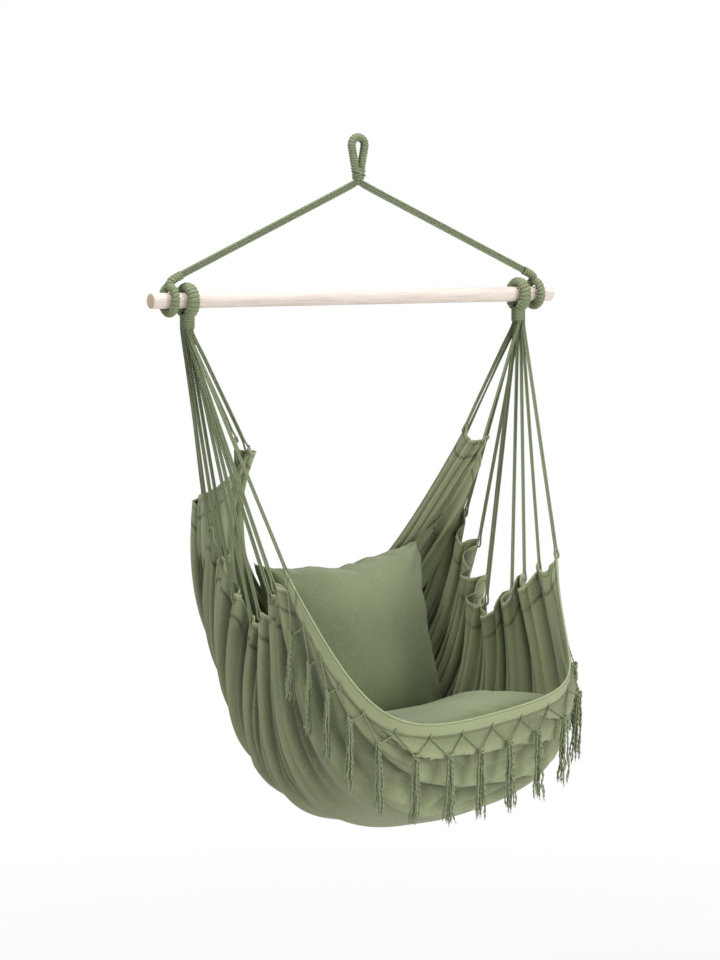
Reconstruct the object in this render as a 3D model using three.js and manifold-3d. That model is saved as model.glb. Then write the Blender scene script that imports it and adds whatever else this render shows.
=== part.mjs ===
import * as THREE from 'three';
import { mergeVertices } from 'three/addons/utils/BufferGeometryUtils.js';
import Module from 'manifold-3d';

// Hanging hammock chair: a rope eye, a V of ropes, a wooden spreader bar, two fans of cord,
// a gathered cloth seat with a knotted fringe, a seat cushion and a back cushion.
// Millimetres, +Z up. The origin is the hang point, where a hook bears inside the top eye.
// X runs along the bar, and the chair faces -Y.

const wasm = await Module();
wasm.setup();

// Clearances
const seatGap = 0.3;
const touchGap = 0.5;
const windingSlack = 0.25;

// Spreader bar
const barLength = 1000;
const barDiameter = 32;
const barDrop = 323;
const barEndRound = 3;

// Rope sizes
const windingCord = 3.5;
const suspensionCord = 4.6;
const fanCord = 4;

// Top eye and its neck
const topEyeTube = 18;
const topEyeWidth = 14;
const topEyeHeight = 47;
const neckLength = 20;
const neckDiameter = 20;
const topEyeTurns = 13.5;
const neckTurns = 4;

// Eyes round the bar
const eyeBore = 35;
const barEyeTube = 18;
const barOverhang = 44;
const barEyeCentre = barLength / 2 - barOverhang;
const barEyeTurns = 10;
const fanEyeTube = 20;
const fanEyeBreadth = 27;
const eyeSpacing = 42;
const fanEyeCentre = barEyeCentre - eyeSpacing;
const fanEyeTurns = 10;
const barEyeOpening = 22;
const fanEyeOpening = 34;

// Ropes of the V
const strandsPerSide = 3;
const strandPitch = 4.9;
const spliceReach = 15;
const spliceRise = 46;
const strandEndReach = barEyeCentre - spliceReach;
const strandEndDrop = barDrop - spliceRise;
const strandStart = 1.5;
const spliceRadius = 6;

// Neck of each fan
const fanNeckDiameter = 24;
const fanNeckDrop = 31;
const fanNeckLength = 27;
const fanNeckTop = barDrop + fanNeckDrop;
const fanNeckBottom = fanNeckTop + fanNeckLength;
const fanNeckTurns = 5;
const whippingPitch = 4.1;

// Fan cords leave the neck in rows of doubled runs
const runPitch = 4.4;
const rowPitch = 4.9;
const columnPitch = 9.8;
const cordLead = 4;
const rowCount = 6;

// Cloth seat
const clothThickness = 3;
const clothHalfWidth = 333;
const clothReach = 445;
const fanHeight = 289;
const clothTopDrop = barDrop + fanHeight;
const clothDepth = 803;
const foldHeight = 11;
const scallopDepth = 22;
const bottomFold = 13;
const fringeInset = 20;

// Cushions
const cushionWidth = 415;
const cushionLength = 400;
const seatCushionLength = 418;
const seatCushionThickness = 76;
const backCushionThickness = 188;
const seatCushionShares = [0.1336, 0.432, 0.71];
const seatCushionSag = 22;
const backCushionShares = [0.09, -0.158, 0.5616];
const cushionDrawnInShare = 0.07;
const seatCushionTilt = THREE.MathUtils.degToRad(10);
const seatCushionRoll = THREE.MathUtils.degToRad(4);
const backCushionLean = THREE.MathUtils.degToRad(11);
const backCushionRoll = THREE.MathUtils.degToRad(4);

// Fringe
const tasselCount = 15;
const tasselLeg = 2.4;
const tasselDrop = 32;
const tasselLength = 142;
const tasselClear = 0.8;
const tasselStandOff = 8;
const knotWidth = 13;
const skirtWidth = 15;
const tasselReach = 60;

const clothGreen = 0x838c6b;
const cordGreen = 0x7f8868;
const cushionGreen = 0x7d8564;
const beech = 0xe6d8cc;

const group = new THREE.Group();

function material(color, roughness) {
  return new THREE.MeshStandardMaterial({ color, roughness, metalness: 0 });
}

function addNode(name, geometry, color, roughness = 0.9) {
  const mesh = new THREE.Mesh(geometry, material(color, roughness));
  mesh.name = name;
  group.add(mesh);
  return mesh;
}

function vec(x, y, z) {
  return new THREE.Vector3(x, y, z);
}

function bodyFrom(positions, faces) {
  const geometry = new THREE.BufferGeometry();
  geometry.setAttribute('position', new THREE.Float32BufferAttribute(positions, 3));
  geometry.setIndex(faces);
  geometry.computeVertexNormals();
  return geometry;
}

// A closed round tube through the given points, with one radius or a radius for each point.
function tube(points, radius, sides) {
  const positions = [];
  const faces = [];
  const last = points.length - 1;
  const side = vec(0, 0, 0);
  let before = null;
  points.forEach((point, i) => {
    const back = points[Math.max(i - 1, 0)];
    const ahead = points[Math.min(i + 1, last)];
    const inward = point.clone().sub(back).normalize();
    const outward = ahead.clone().sub(point).normalize();
    const along = inward.add(outward).normalize();
    if (before) {
      side.applyQuaternion(new THREE.Quaternion().setFromUnitVectors(before, along));
    } else {
      side.copy(Math.abs(along.x) < Math.SQRT1_2 ? vec(1, 0, 0) : vec(0, 1, 0));
    }
    side.addScaledVector(along, -side.dot(along)).normalize();
    before = along.clone();
    const up = along.clone().cross(side);
    const r = Array.isArray(radius) ? radius[i] : radius;
    for (let j = 0; j < sides; j += 1) {
      const angle = (2 * Math.PI * j) / sides;
      const spoke = side.clone().multiplyScalar(r * Math.cos(angle));
      spoke.addScaledVector(up, r * Math.sin(angle)).add(point);
      positions.push(spoke.x, spoke.y, spoke.z);
    }
  });
  for (let i = 0; i < last; i += 1) {
    for (let j = 0; j < sides; j += 1) {
      const a = i * sides + j;
      const b = i * sides + ((j + 1) % sides);
      faces.push(a, b, b + sides, a, b + sides, a + sides);
    }
  }
  for (let j = 1; j < sides - 1; j += 1) {
    const end = last * sides;
    faces.push(0, j + 1, j, end, end + j, end + j + 1);
  }
  return bodyFrom(positions, faces);
}

function toSolid(geometry) {
  const bare = geometry.clone();
  bare.deleteAttribute('normal');
  bare.deleteAttribute('uv');
  const merged = mergeVertices(bare);
  return new wasm.Manifold(new wasm.Mesh({
    numProp: 3,
    vertProperties: new Float32Array(merged.attributes.position.array),
    triVerts: new Uint32Array(merged.index.array),
  }));
}

function joined(geometries) {
  const solid = geometries.map(toSolid).reduce((whole, next) => whole.add(next));
  const mesh = solid.getMesh();
  return bodyFrom(Array.from(mesh.vertProperties), Array.from(mesh.triVerts));
}

// A cord wound on a path: the path point and its two spokes come from placeAt(share of the path).
function windingPoints(placeAt, radius, turns, stepsPerTurn) {
  const points = [];
  const steps = turns * stepsPerTurn;
  for (let i = 0; i <= steps; i += 1) {
    const { centre, first, second } = placeAt(i / steps);
    const angle = (2 * Math.PI * i) / stepsPerTurn;
    const point = centre.clone().addScaledVector(first, radius * Math.cos(angle));
    points.push(point.addScaledVector(second, radius * Math.sin(angle)));
  }
  return points;
}

// Least space between turns of one winding, measured from point to point of its centre line.
function leastSelfGap(points, stepsPerTurn, diameter) {
  let least = Infinity;
  for (let i = 0; i < points.length; i += 1) {
    for (let j = i + Math.ceil(stepsPerTurn * 0.75); j < points.length; j += 1) {
      const along = new THREE.Line3(points[j], points[Math.min(j + 1, points.length - 1)]);
      const near = along.closestPointToPoint(points[i], true, vec(0, 0, 0));
      least = Math.min(least, near.distanceTo(points[i]));
    }
  }
  return least - diameter;
}

const curlSteps = 8;
const neckSteps = 12;
const windingSides = 5;
const cordRadius = windingCord / 2;

function addWinding(name, placeAt, radius, turns, steps) {
  const points = windingPoints(placeAt, radius, turns, steps);
  console.log(`${name} least self gap ${leastSelfGap(points, steps, windingCord).toFixed(2)} mm`);
  addNode(name, tube(points, cordRadius, windingSides), cordGreen);
}

// The core inside a winding clears the chords that the winding's steps cut.
function coreRadius(windingRadius, steps) {
  return windingRadius * Math.cos(Math.PI / steps) - cordRadius - windingSlack;
}

function windingRadiusOver(core, steps) {
  return (core + cordRadius + windingSlack) / Math.cos(Math.PI / steps);
}

// Spreader bar, turned about X with rounded ends
function addSpreaderBar() {
  const half = barLength / 2;
  const radius = barDiameter / 2;
  const profile = [new THREE.Vector2(0, -half)];
  const roundSteps = 3;
  for (const end of [-1, 1]) {
    for (let i = 0; i <= roundSteps; i += 1) {
      const turn = (end < 0 ? i : roundSteps - i) / roundSteps;
      const angle = turn * Math.PI / 2;
      const r = radius - barEndRound + barEndRound * Math.sin(angle);
      profile.push(new THREE.Vector2(r, end * (half - barEndRound + barEndRound * Math.cos(angle))));
    }
  }
  profile.push(new THREE.Vector2(0, half));
  const bar = new THREE.LatheGeometry(profile, 24);
  bar.rotateZ(-Math.PI / 2);
  const node = addNode('spreader_bar', bar, beech, 0.6);
  node.position.z = -barDrop;
}

// Top eye: a pear-shaped loop of rope in the plane of the bar, closed by a round neck
const eyeWindingRadius = topEyeTube / 2 - cordRadius;
const eyeCoreRadius = coreRadius(eyeWindingRadius, curlSteps);
const eyeBend = (topEyeWidth + topEyeTube) / 2;
const eyeLegFoot = topEyeHeight + topEyeTube / 2;
const neckTop = eyeLegFoot;
const neckBottom = neckTop + neckLength;
const legFootSpread = neckDiameter / 2 - eyeCoreRadius - touchGap;

function topEyePath() {
  const bendCentre = topEyeTube / 2 - eyeBend;
  const legFoot = (side) => vec(side * legFootSpread, 0, -neckTop - eyeCoreRadius);
  const leg = (side) => vec(side * (topEyeTube / 2 + touchGap), 0, -neckTop + topEyeWidth);
  const points = [legFoot(-1), leg(-1)];
  const arcSteps = 10;
  for (let i = 0; i <= arcSteps; i += 1) {
    const angle = Math.PI * (1 - i / arcSteps);
    points.push(vec(eyeBend * Math.cos(angle), 0, bendCentre + eyeBend * Math.sin(angle)));
  }
  points.push(leg(1), legFoot(1));
  return new THREE.CatmullRomCurve3(points, false, 'centripetal');
}

function addTopEye() {
  const path = topEyePath();
  const core = tube(path.getSpacedPoints(26), eyeCoreRadius, 8);
  const neck = tube([vec(0, 0, -neckTop), vec(0, 0, -neckBottom)], neckDiameter / 2, 12);
  addNode('top_eye_rope', joined([core, neck]), cordGreen);
  const legShare = (eyeCoreRadius + topEyeTube / 2) / path.getLength();
  addWinding('top_eye_winding', (share) => {
    const u = legShare + share * (1 - 2 * legShare);
    const along = path.getTangentAt(u);
    const second = vec(0, 1, 0);
    return { centre: path.getPointAt(u), first: along.cross(second), second };
  }, eyeWindingRadius, topEyeTurns, curlSteps);
  addWhipping('top_neck_whipping', 0, neckDiameter / 2, neckTop + neckLength / 2, neckTurns);
}

function addWhipping(name, x, core, middleDrop, turns) {
  const height = turns * whippingPitch;
  const radius = windingRadiusOver(core, neckSteps);
  addWinding(name, (share) => ({
    centre: vec(x, 0, -middleDrop + height * (0.5 - share)),
    first: vec(1, 0, 0),
    second: vec(0, 1, 0),
  }), radius, turns, neckSteps);
}

// Eyes round the bar: a bar eye lifts the bar from below, and a fan eye hangs on its top
function eyeCentreDrop(lift) {
  return barDrop - lift * (eyeBore / 2 - barDiameter / 2 - seatGap);
}

function ringPlace(x, centreDrop, ring, angle) {
  const first = vec(0, Math.sin(angle), Math.cos(angle));
  const centre = vec(x, 0, -centreDrop).addScaledVector(first, ring.radius);
  return { centre, first, second: vec(ring.breadthShare, 0, 0) };
}

function ringCore(x, centreDrop, ring) {
  const core = new THREE.TorusGeometry(ring.radius, ring.core, 8, 24);
  core.scale(1, 1, ring.coreBreadthShare);
  core.rotateY(Math.PI / 2);
  core.translate(x, 0, -centreDrop);
  return core;
}

function addRingWinding(name, x, centreDrop, ring, turns, opening, startAngle) {
  const start = startAngle + opening;
  const sweep = 2 * (Math.PI - opening);
  addWinding(name, (share) => ringPlace(x, centreDrop, ring, start + share * sweep),
    ring.winding, turns, curlSteps);
}

function ringSizes(tubeDiameter, breadth) {
  const winding = tubeDiameter / 2 - cordRadius;
  const broad = breadth / 2 - cordRadius;
  const core = coreRadius(winding, curlSteps);
  return {
    radius: (eyeBore + tubeDiameter) / 2,
    winding,
    core,
    breadthShare: broad / winding,
    coreBreadthShare: coreRadius(broad, curlSteps) / core,
  };
}

const strandEnd = vec(strandEndReach, 0, -strandEndDrop);
const strandSlope = (strandEndDrop - neckBottom) / strandEndReach;
const strandRim = suspensionCord / 2 / Math.hypot(1, strandSlope) - strandStart * strandSlope;
const strandTop = vec(0, 0, -neckBottom - touchGap - strandRim);

// The upper strand starts on the swing axis. The others lie below it, one pitch apart.
function strandPoints(side, index) {
  const along = strandEnd.clone().sub(strandTop);
  along.z += strandPitch;
  along.normalize();
  const across = vec(-along.z, 0, along.x);
  const start = strandTop.clone();
  start.addScaledVector(across, -index * strandPitch).addScaledVector(along, strandStart);
  start.addScaledVector(along, (strandStart - start.x) / along.x);
  const reach = strandEnd.clone().sub(start).dot(along) - touchGap;
  const end = start.clone().addScaledVector(along, reach);
  return [start, end].map((p) => vec(side * p.x, p.y, p.z));
}

function addBarEye(side, word) {
  const ring = ringSizes(barEyeTube, barEyeTube);
  const x = side * barEyeCentre;
  const drop = eyeCentreDrop(1);
  const ringTop = drop - ring.radius;
  const bendReach = barEyeCentre - ring.core / 2;
  const along = vec(strandEndReach, 0, -strandEndDrop).sub(strandTop).normalize();
  const splice = [
    vec(x, 0, -ringTop),
    vec(side * bendReach, 0, -ringTop + ring.core + ring.core),
    vec(side * (strandEndReach + along.x), 0, -strandEndDrop - along.x / 2),
    vec(side * strandEndReach, 0, -strandEndDrop),
  ];
  const radii = [ring.core, ring.core, spliceRadius, spliceRadius];
  const core = joined([ringCore(x, drop, ring), tube(splice, radii, 8)]);
  addNode(`bar_eye_${word}`, core, cordGreen);
  const opening = THREE.MathUtils.degToRad(barEyeOpening);
  addRingWinding(`bar_eye_winding_${word}`, x, drop, ring, barEyeTurns, opening, 0);
}

function addFanEye(side, word) {
  const ring = ringSizes(fanEyeTube, fanEyeBreadth);
  const x = side * fanEyeCentre;
  const drop = eyeCentreDrop(-1);
  const neck = tube([vec(x, 0, -fanNeckTop), vec(x, 0, -fanNeckBottom)], fanNeckDiameter / 2, 12);
  const core = joined([ringCore(x, drop, ring), neck]);
  addNode(`fan_eye_${word}`, core, cordGreen);
  const opening = THREE.MathUtils.degToRad(fanEyeOpening);
  addRingWinding(`fan_eye_winding_${word}`, x, drop, ring, fanEyeTurns, opening, Math.PI);
  const whippingMiddle = fanNeckBottom - (fanNeckTurns * whippingPitch + windingCord) / 2;
  addWhipping(`fan_whipping_${word}`, x, fanNeckDiameter / 2, whippingMiddle, fanNeckTurns);
}

function addStrands(side, word) {
  for (let index = 0; index < strandsPerSide; index += 1) {
    const points = strandPoints(side, index);
    addNode(`suspension_rope_${word}_${index + 1}`, tube(points, suspensionCord / 2, 8), cordGreen);
  }
}

// Cloth seat. Each row is one section of the sling, from the back edge to the front edge,
// through one pair of cord attachments. Places are shares of the cloth's half width, its reach
// in front of the bar and its depth below the back corners: the attachment, then the lowest
// point. Then come how far the bottom runs flat, how far the side runs down, how far it leans
// in and how far it sweeps towards the low point, the sideways roll, and how much fuller the
// right side hangs than the left.
const sectionShares = [
  [0.865, 0.05, 0.0, 0.0, 0.45, 0.5, 0.45, 0.52, 0.2, 0.66, 0.0, 0],
  [0.883, -0.09, 0.02, 0.0, 0.5, 0.6, 0.5, 0.5, 0.1, 0.66, 0.0, 0],
  [0.97, 0.27, 0.162, 0.01, 0.52, 0.7, 0.6, 0.6, 0.0, 0.45, 0.0, 0],
  [0.943, 0.157, 0.234, 0.015, 0.5, 0.78, 0.65, 0.6, 0.0, 0.4, 0.0, 0],
  [0.931, 0.067, 0.311, 0.03, 0.42, 0.855, 0.7, 0.62, 0.0, 0.45, 0.0, 0],
  [0.901, -0.022, 0.402, 0.045, 0.3, 0.92, 0.76, 0.65, -0.04, 0.45, 0.0, 0],
  [0.871, -0.112, 0.456, 0.045, 0.11, 0.972, 0.84, 0.68, -0.1, 0.4, 0.0, 0.03],
  [0.871, -0.236, 0.441, 0.045, -0.14, 0.997, 0.88, 0.68, -0.14, 0.4, 0.02, 0.08],
  [0.901, -0.348, 0.39, 0.06, -0.43, 0.99, 0.88, 0.68, -0.1, 0.4, 0.05, 0.14],
  [0.955, -0.461, 0.35, 0.09, -0.79, 0.915, 0.84, 0.72, 0.03, 0.5, 0.1, 0.13],
  [1.0, -0.562, 0.311, 0.135, -1.0, 0.682, 0.8, 0.9, 0.3, 0.72, 0.147, 0.02],
];
const attachments = sectionShares.length;
const rowsPerGap = 3;
const clothRows = (attachments - 1) * rowsPerGap;
const clothColumns = 19;

function catmull(a, b, c, d, t) {
  const t2 = t * t;
  const t3 = t2 * t;
  return 0.5 * (2 * b + (c - a) * t + (2 * a - 5 * b + 4 * c - d) * t2 + (3 * b - a - 3 * c + d) * t3);
}

function sectionAt(row) {
  const index = Math.min(Math.floor(row), attachments - 2);
  const at = (i) => sectionShares[Math.min(Math.max(i, 0), attachments - 1)];
  const rows = [at(index - 1), at(index), at(index + 1), at(index + 2)];
  return rows[0].map((_, k) => catmull(rows[0][k], rows[1][k], rows[2][k], rows[3][k], row - index));
}

function bezier(a, b, c, d, t) {
  const u = 1 - t;
  return u ** 3 * a + 3 * u * u * t * b + 3 * u * t * t * c + t ** 3 * d;
}

// A point of the cloth's middle surface. row runs from the back edge to the front edge, and
// across from the left hem, at -1, to the right hem, at 1.
function slingPoint(row, across) {
  const [hemX, hemY, hemZ, lowX, lowY, lowZ, flat, down, lean, sweep, roll, fuller] = sectionAt(row);
  const side = Math.sign(across);
  const full = side > 0 ? fuller : 0;
  const t = Math.abs(across);
  const bellied = lowX + side * (flat + full) * hemX;
  const leaning = side * hemX * (1 - lean + full);
  const x = bezier(lowX, bellied, leaning, side * hemX, t);
  const y = bezier(lowY, lowY, hemY + sweep * (lowY - hemY), hemY, t);
  const z = bezier(lowZ, lowZ, hemZ + down * (lowZ - hemZ), hemZ, t);
  const droop = scallopDepth * t ** 3 * (1 - Math.cos(2 * Math.PI * row)) / 2;
  const rise = roll * clothHalfWidth * x * (1 - t * t) - droop;
  return vec(clothHalfWidth * x, clothReach * y, rise - clothTopDrop - clothDepth * z);
}

const nudge = 1e-3;

// The outward direction of a surface of rows and sections
function outwardOf(surface, row, across) {
  const rowStep = row + nudge > attachments - 1 ? -nudge : nudge;
  const acrossStep = across > 0 ? -nudge : nudge;
  const here = surface(row, across);
  const alongRow = surface(row + rowStep, across).sub(here).multiplyScalar(Math.sign(rowStep));
  const alongSection = surface(row, across + acrossStep).sub(here);
  return alongSection.multiplyScalar(Math.sign(acrossStep)).cross(alongRow).normalize();
}

// The folds run down from the attachments and die out under the seat and at both ends, and one
// long fold lies across the front, below the hem.
function clothPoint(row, across) {
  const t = Math.abs(across);
  const fade = Math.min(row / 2, attachments - 1 - row, 1);
  const pleat = foldHeight * fade * t * Math.cos(2 * Math.PI * row);
  const front = Math.max(0, 1 - Math.abs(row - (attachments - 1 - 2 / 3)) * rowsPerGap);
  const offset = pleat - bottomFold * front * (1 - t * t);
  return slingPoint(row, across).addScaledVector(outwardOf(slingPoint, row, across), offset);
}

function clothFace(row, across, side) {
  const normal = outwardOf(slingPoint, row, across);
  return clothPoint(row, across).addScaledVector(normal, side * clothThickness / 2);
}

function addCloth() {
  const positions = [];
  const faces = [];
  const line = clothColumns + 1;
  for (const side of [1, -1]) {
    for (let i = 0; i <= clothRows; i += 1) {
      for (let j = 0; j <= clothColumns; j += 1) {
        const point = clothFace(i / rowsPerGap, 2 * j / clothColumns - 1, side);
        positions.push(point.x, point.y, point.z);
      }
    }
  }
  const under = (clothRows + 1) * line;
  const index = (i, j) => i * line + j;
  const quad = (a, b, c, d) => faces.push(a, b, c, a, c, d);
  for (let i = 0; i < clothRows; i += 1) {
    for (let j = 0; j < clothColumns; j += 1) {
      const [a, b, c, d] = [index(i, j), index(i, j + 1), index(i + 1, j + 1), index(i + 1, j)];
      quad(a, b, c, d);
      quad(under + d, under + c, under + b, under + a);
    }
  }
  for (let i = 0; i < clothRows; i += 1) {
    const right = [index(i, clothColumns), index(i + 1, clothColumns)];
    const left = [index(i + 1, 0), index(i, 0)];
    for (const [a, b] of [right, left]) quad(a, under + a, under + b, b);
  }
  for (let j = 0; j < clothColumns; j += 1) {
    const back = [index(0, j), index(0, j + 1)];
    const front = [index(clothRows, j + 1), index(clothRows, j)];
    for (const [a, b] of [back, front]) quad(a, under + a, under + b, b);
  }
  return addNode('seat_cloth', bodyFrom(positions, faces), clothGreen);
}

// Fan cords: each is one doubled length, down from the neck, round in a tight bend on the hem
// and up again. Each place in a row is set by the attachment that the cord goes to.
const outerColumn = [2, 3, 4, 8, 9, 10];
const innerColumn = [0, 5, 6, 7, 1];

function cordStart(attachment) {
  const outer = outerColumn.includes(attachment);
  const column = outer ? outerColumn : innerColumn;
  const row = column.indexOf(attachment) + (outer ? 0 : (rowCount - innerColumn.length) / 2);
  const x = fanEyeCentre + (outer ? 1 : -1) * columnPitch / 2;
  return vec(x, ((rowCount - 1) / 2 - row) * rowPitch, -fanNeckBottom - seatGap);
}

function cordPoints(side, attachment) {
  const start = cordStart(attachment);
  start.x *= side;
  const hem = clothPoint(attachment, side);
  const lead = start.clone().setZ(start.z - cordLead);
  const along = hem.clone().sub(lead).normalize();
  const bend = hem.clone().addScaledVector(along, -(runPitch + fanCord) / 2 - touchGap);
  const level = vec(side, 0, 0);
  const out = level.clone().addScaledVector(along, -level.dot(along)).normalize();
  const apart = runPitch / 2;
  const offset = (way) => ([point, across]) => point.clone().addScaledVector(across, way * apart);
  // The long straight run has a ring square to it at each end.
  const runHead = lead.clone().addScaledVector(along, fanCord);
  const bendFoot = bend.clone().addScaledVector(along, -fanCord);
  const run = [[start, level], [lead, level], [runHead, out], [bendFoot, out]];
  const points = run.map(offset(1));
  const bendSteps = 4;
  for (let i = 0; i <= bendSteps; i += 1) {
    const angle = Math.PI * i / bendSteps;
    const point = bend.clone().addScaledVector(out, apart * Math.cos(angle));
    points.push(point.addScaledVector(along, apart * Math.sin(angle)));
  }
  points.push(...run.reverse().map(offset(-1)));
  return points;
}

function addFanCords(side, word) {
  for (let attachment = 0; attachment < attachments; attachment += 1) {
    const name = `fan_cord_${word}_${String(attachment + 1).padStart(2, '0')}`;
    addNode(name, tube(cordPoints(side, attachment), fanCord / 2, 6), cordGreen);
  }
}

// Fringe: tassels knotted between holes that are evenly spaced along the front hem
function frontHoles(cloth) {
  const samples = 400;
  const front = attachments - 1;
  const places = Array.from({ length: samples + 1 }, (_, i) => 2 * i / samples - 1);
  const lengths = [0];
  for (let i = 1; i <= samples; i += 1) {
    const step = slingPoint(front, places[i]).distanceTo(slingPoint(front, places[i - 1]));
    lengths.push(lengths[i - 1] + step);
  }
  const edge = lengths[samples];
  return Array.from({ length: tasselCount + 1 }, (_, k) => {
    const want = fringeInset + (edge - 2 * fringeInset) * k / tasselCount;
    const across = places[lengths.findIndex((length) => length >= want)];
    const near = slingPoint(front - nudge, across);
    const row = front - fringeInset * nudge / near.distanceTo(slingPoint(front, across));
    const outward = outwardOf(clothPoint, row, across);
    const place = clothPoint(row, across);
    const inward = outward.clone().negate();
    const looking = new THREE.Raycaster(place.addScaledVector(outward, tasselReach), inward);
    const [hit] = looking.intersectObject(cloth);
    const stand = tasselLeg / 2 + tasselClear;
    return { place: hit.point.clone().addScaledVector(outward, stand), outward };
  });
}

const frontSamples = 30;
const acrossSamples = 100;

// The cloth near the front edge, as points that the tassels rest against
function clothNearFront() {
  const points = [];
  for (let i = 0; i <= frontSamples; i += 1) {
    const row = attachments - 4 + 3 * i / frontSamples;
    for (let j = 0; j <= acrossSamples; j += 1) {
      points.push(clothPoint(row, 2 * j / acrossSamples - 1));
    }
  }
  return points;
}

// How far the cloth stands out past a point, within a small distance up, down and sideways
function standOut(point, outward, cloth) {
  const sideways = vec(-outward.y, outward.x, 0);
  const offsets = cloth.map((sample) => sample.clone().sub(point));
  const near = offsets.filter((offset) => Math.max(Math.abs(offset.z), Math.abs(offset.dot(sideways)))
    < skirtWidth && Math.abs(offset.dot(outward)) < tasselReach);
  return near.reduce((most, offset) => Math.max(most, offset.dot(outward)), -Infinity);
}

function tasselBody(left, right, cloth) {
  const knot = left.place.clone().add(right.place).multiplyScalar(0.5);
  const outward = left.outward.clone().add(right.outward).setZ(0).normalize();
  knot.z -= tasselDrop;
  knot.addScaledVector(outward, tasselStandOff);
  const aside = right.place.clone().sub(left.place).normalize();
  const profileShares = [[0.08, 0.2], [0.04, 0.85], [-0.03, 0.95], [-0.07, 0.5], [-0.25, 0.75],
    [-0.6, 0.8], [-0.93, 0.7], [-1, 1]];
  let push = 0;
  const points = profileShares.map(([drop]) => {
    const point = knot.clone().setZ(knot.z + drop * tasselLength);
    push = Math.max(push, standOut(point, outward, cloth) + skirtWidth / 2 + clothThickness + touchGap);
    return point.addScaledVector(outward, push);
  });
  const legs = [[left, 1], [right, -1]].map(([hole, way]) => {
    const top = hole.place.clone().addScaledVector(aside, way * tasselLeg);
    return tube([top, points[2]], tasselLeg / 2, 4);
  });
  const radii = profileShares.map(([drop, share]) => share * (drop > -0.1 ? knotWidth : skirtWidth) / 2);
  return joined([tube(points, radii, 6), ...legs]);
}

function addFringe(seatCloth) {
  const holes = frontHoles(seatCloth);
  const cloth = clothNearFront();
  for (let k = 0; k < tasselCount; k += 1) {
    const name = `fringe_tassel_${String(k + 1).padStart(2, '0')}`;
    addNode(name, tasselBody(holes[k], holes[k + 1], cloth), cordGreen);
  }
}

// Cushions: crowned, with thin corners and sides drawn in between them
function cushionGeometry(width, length, thickness, sag) {
  const positions = [];
  const faces = [];
  const cells = 14;
  const line = cells + 1;
  const share = (i) => Math.sin(Math.PI * (i / cells - 0.5));
  const crown = (u, v) => ((1 - u ** 2) * (1 - v ** 2)) ** 0.46;
  const place = (i, j, side) => {
    const u = share(i);
    const v = share(j);
    const x = width / 2 * u * (1 - cushionDrawnInShare * (1 - v ** 2));
    const y = length / 2 * v * (1 - cushionDrawnInShare * (1 - u ** 2));
    positions.push(x, y, side * thickness / 2 * crown(u, v) + sag * (u ** 2 - 1));
  };
  for (const side of [1, -1]) {
    for (let i = 0; i <= cells; i += 1) {
      for (let j = 0; j <= cells; j += 1) place(i, j, side);
    }
  }
  for (let i = 0; i < cells; i += 1) {
    for (let j = 0; j < cells; j += 1) {
      const a = i * line + j;
      const c = a + line + 1;
      const under = line * line;
      faces.push(a, a + line, c, a, c, a + 1);
      faces.push(under + a, under + c, under + a + line, under + a, under + a + 1, under + c);
    }
  }
  const merged = mergeVertices(bodyFrom(positions, faces).deleteAttribute('normal'), nudge);
  merged.computeVertexNormals();
  return merged;
}

// A place given as shares of the cloth's half width, its reach forward and its depth
function placeInCloth([across, forward, down]) {
  return vec(across * clothHalfWidth, -forward * clothReach, -clothTopDrop - down * clothDepth);
}

function addCushions() {
  const seat = cushionGeometry(cushionWidth, seatCushionLength, seatCushionThickness, seatCushionSag);
  const seatNode = addNode('seat_cushion', seat, cushionGreen);
  seatNode.position.copy(placeInCloth(seatCushionShares));
  seatNode.rotation.set(-seatCushionTilt, -seatCushionRoll, 0);
  const back = cushionGeometry(cushionWidth, cushionLength, backCushionThickness, 0);
  back.rotateX(Math.PI / 2);
  const backNode = addNode('back_cushion', back, cushionGreen);
  backNode.position.copy(placeInCloth(backCushionShares));
  backNode.rotation.set(-backCushionLean, -backCushionRoll, 0);
}

addTopEye();
addSpreaderBar();
for (const [side, word] of [[-1, 'left'], [1, 'right']]) {
  addStrands(side, word);
  addBarEye(side, word);
  addFanEye(side, word);
  addFanCords(side, word);
}
addFringe(addCloth());
addCushions();

export default group;
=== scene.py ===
import math

import bpy
import numpy as np
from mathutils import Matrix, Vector
from mathutils.bvhtree import BVHTree


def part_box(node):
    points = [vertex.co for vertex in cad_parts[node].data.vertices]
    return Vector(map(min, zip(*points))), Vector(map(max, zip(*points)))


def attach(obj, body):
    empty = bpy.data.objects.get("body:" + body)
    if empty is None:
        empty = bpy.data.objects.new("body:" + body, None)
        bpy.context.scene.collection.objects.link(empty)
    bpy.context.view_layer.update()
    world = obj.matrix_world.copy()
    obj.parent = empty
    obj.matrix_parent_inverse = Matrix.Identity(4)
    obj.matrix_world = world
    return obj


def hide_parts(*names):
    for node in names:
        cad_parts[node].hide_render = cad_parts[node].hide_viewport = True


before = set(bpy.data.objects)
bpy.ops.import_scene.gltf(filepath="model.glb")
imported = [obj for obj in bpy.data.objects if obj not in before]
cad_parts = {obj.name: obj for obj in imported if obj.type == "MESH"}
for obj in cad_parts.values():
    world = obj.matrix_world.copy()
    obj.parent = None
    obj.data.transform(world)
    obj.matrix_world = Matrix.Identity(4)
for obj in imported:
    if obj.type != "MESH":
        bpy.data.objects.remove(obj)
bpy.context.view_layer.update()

bl_info = {
    "name": "Hammock Chair",
    "version": (1, 0, 0),
    "blender": (4, 5, 0),
    "location": "3D View > Sidebar > Hammock",
    "description": "Dresses the packed hammock chair with ropes, cloth, cushions and fringe",
    "category": "Object",
}

SIDES = ((-1, "left"), (1, "right"))

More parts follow.
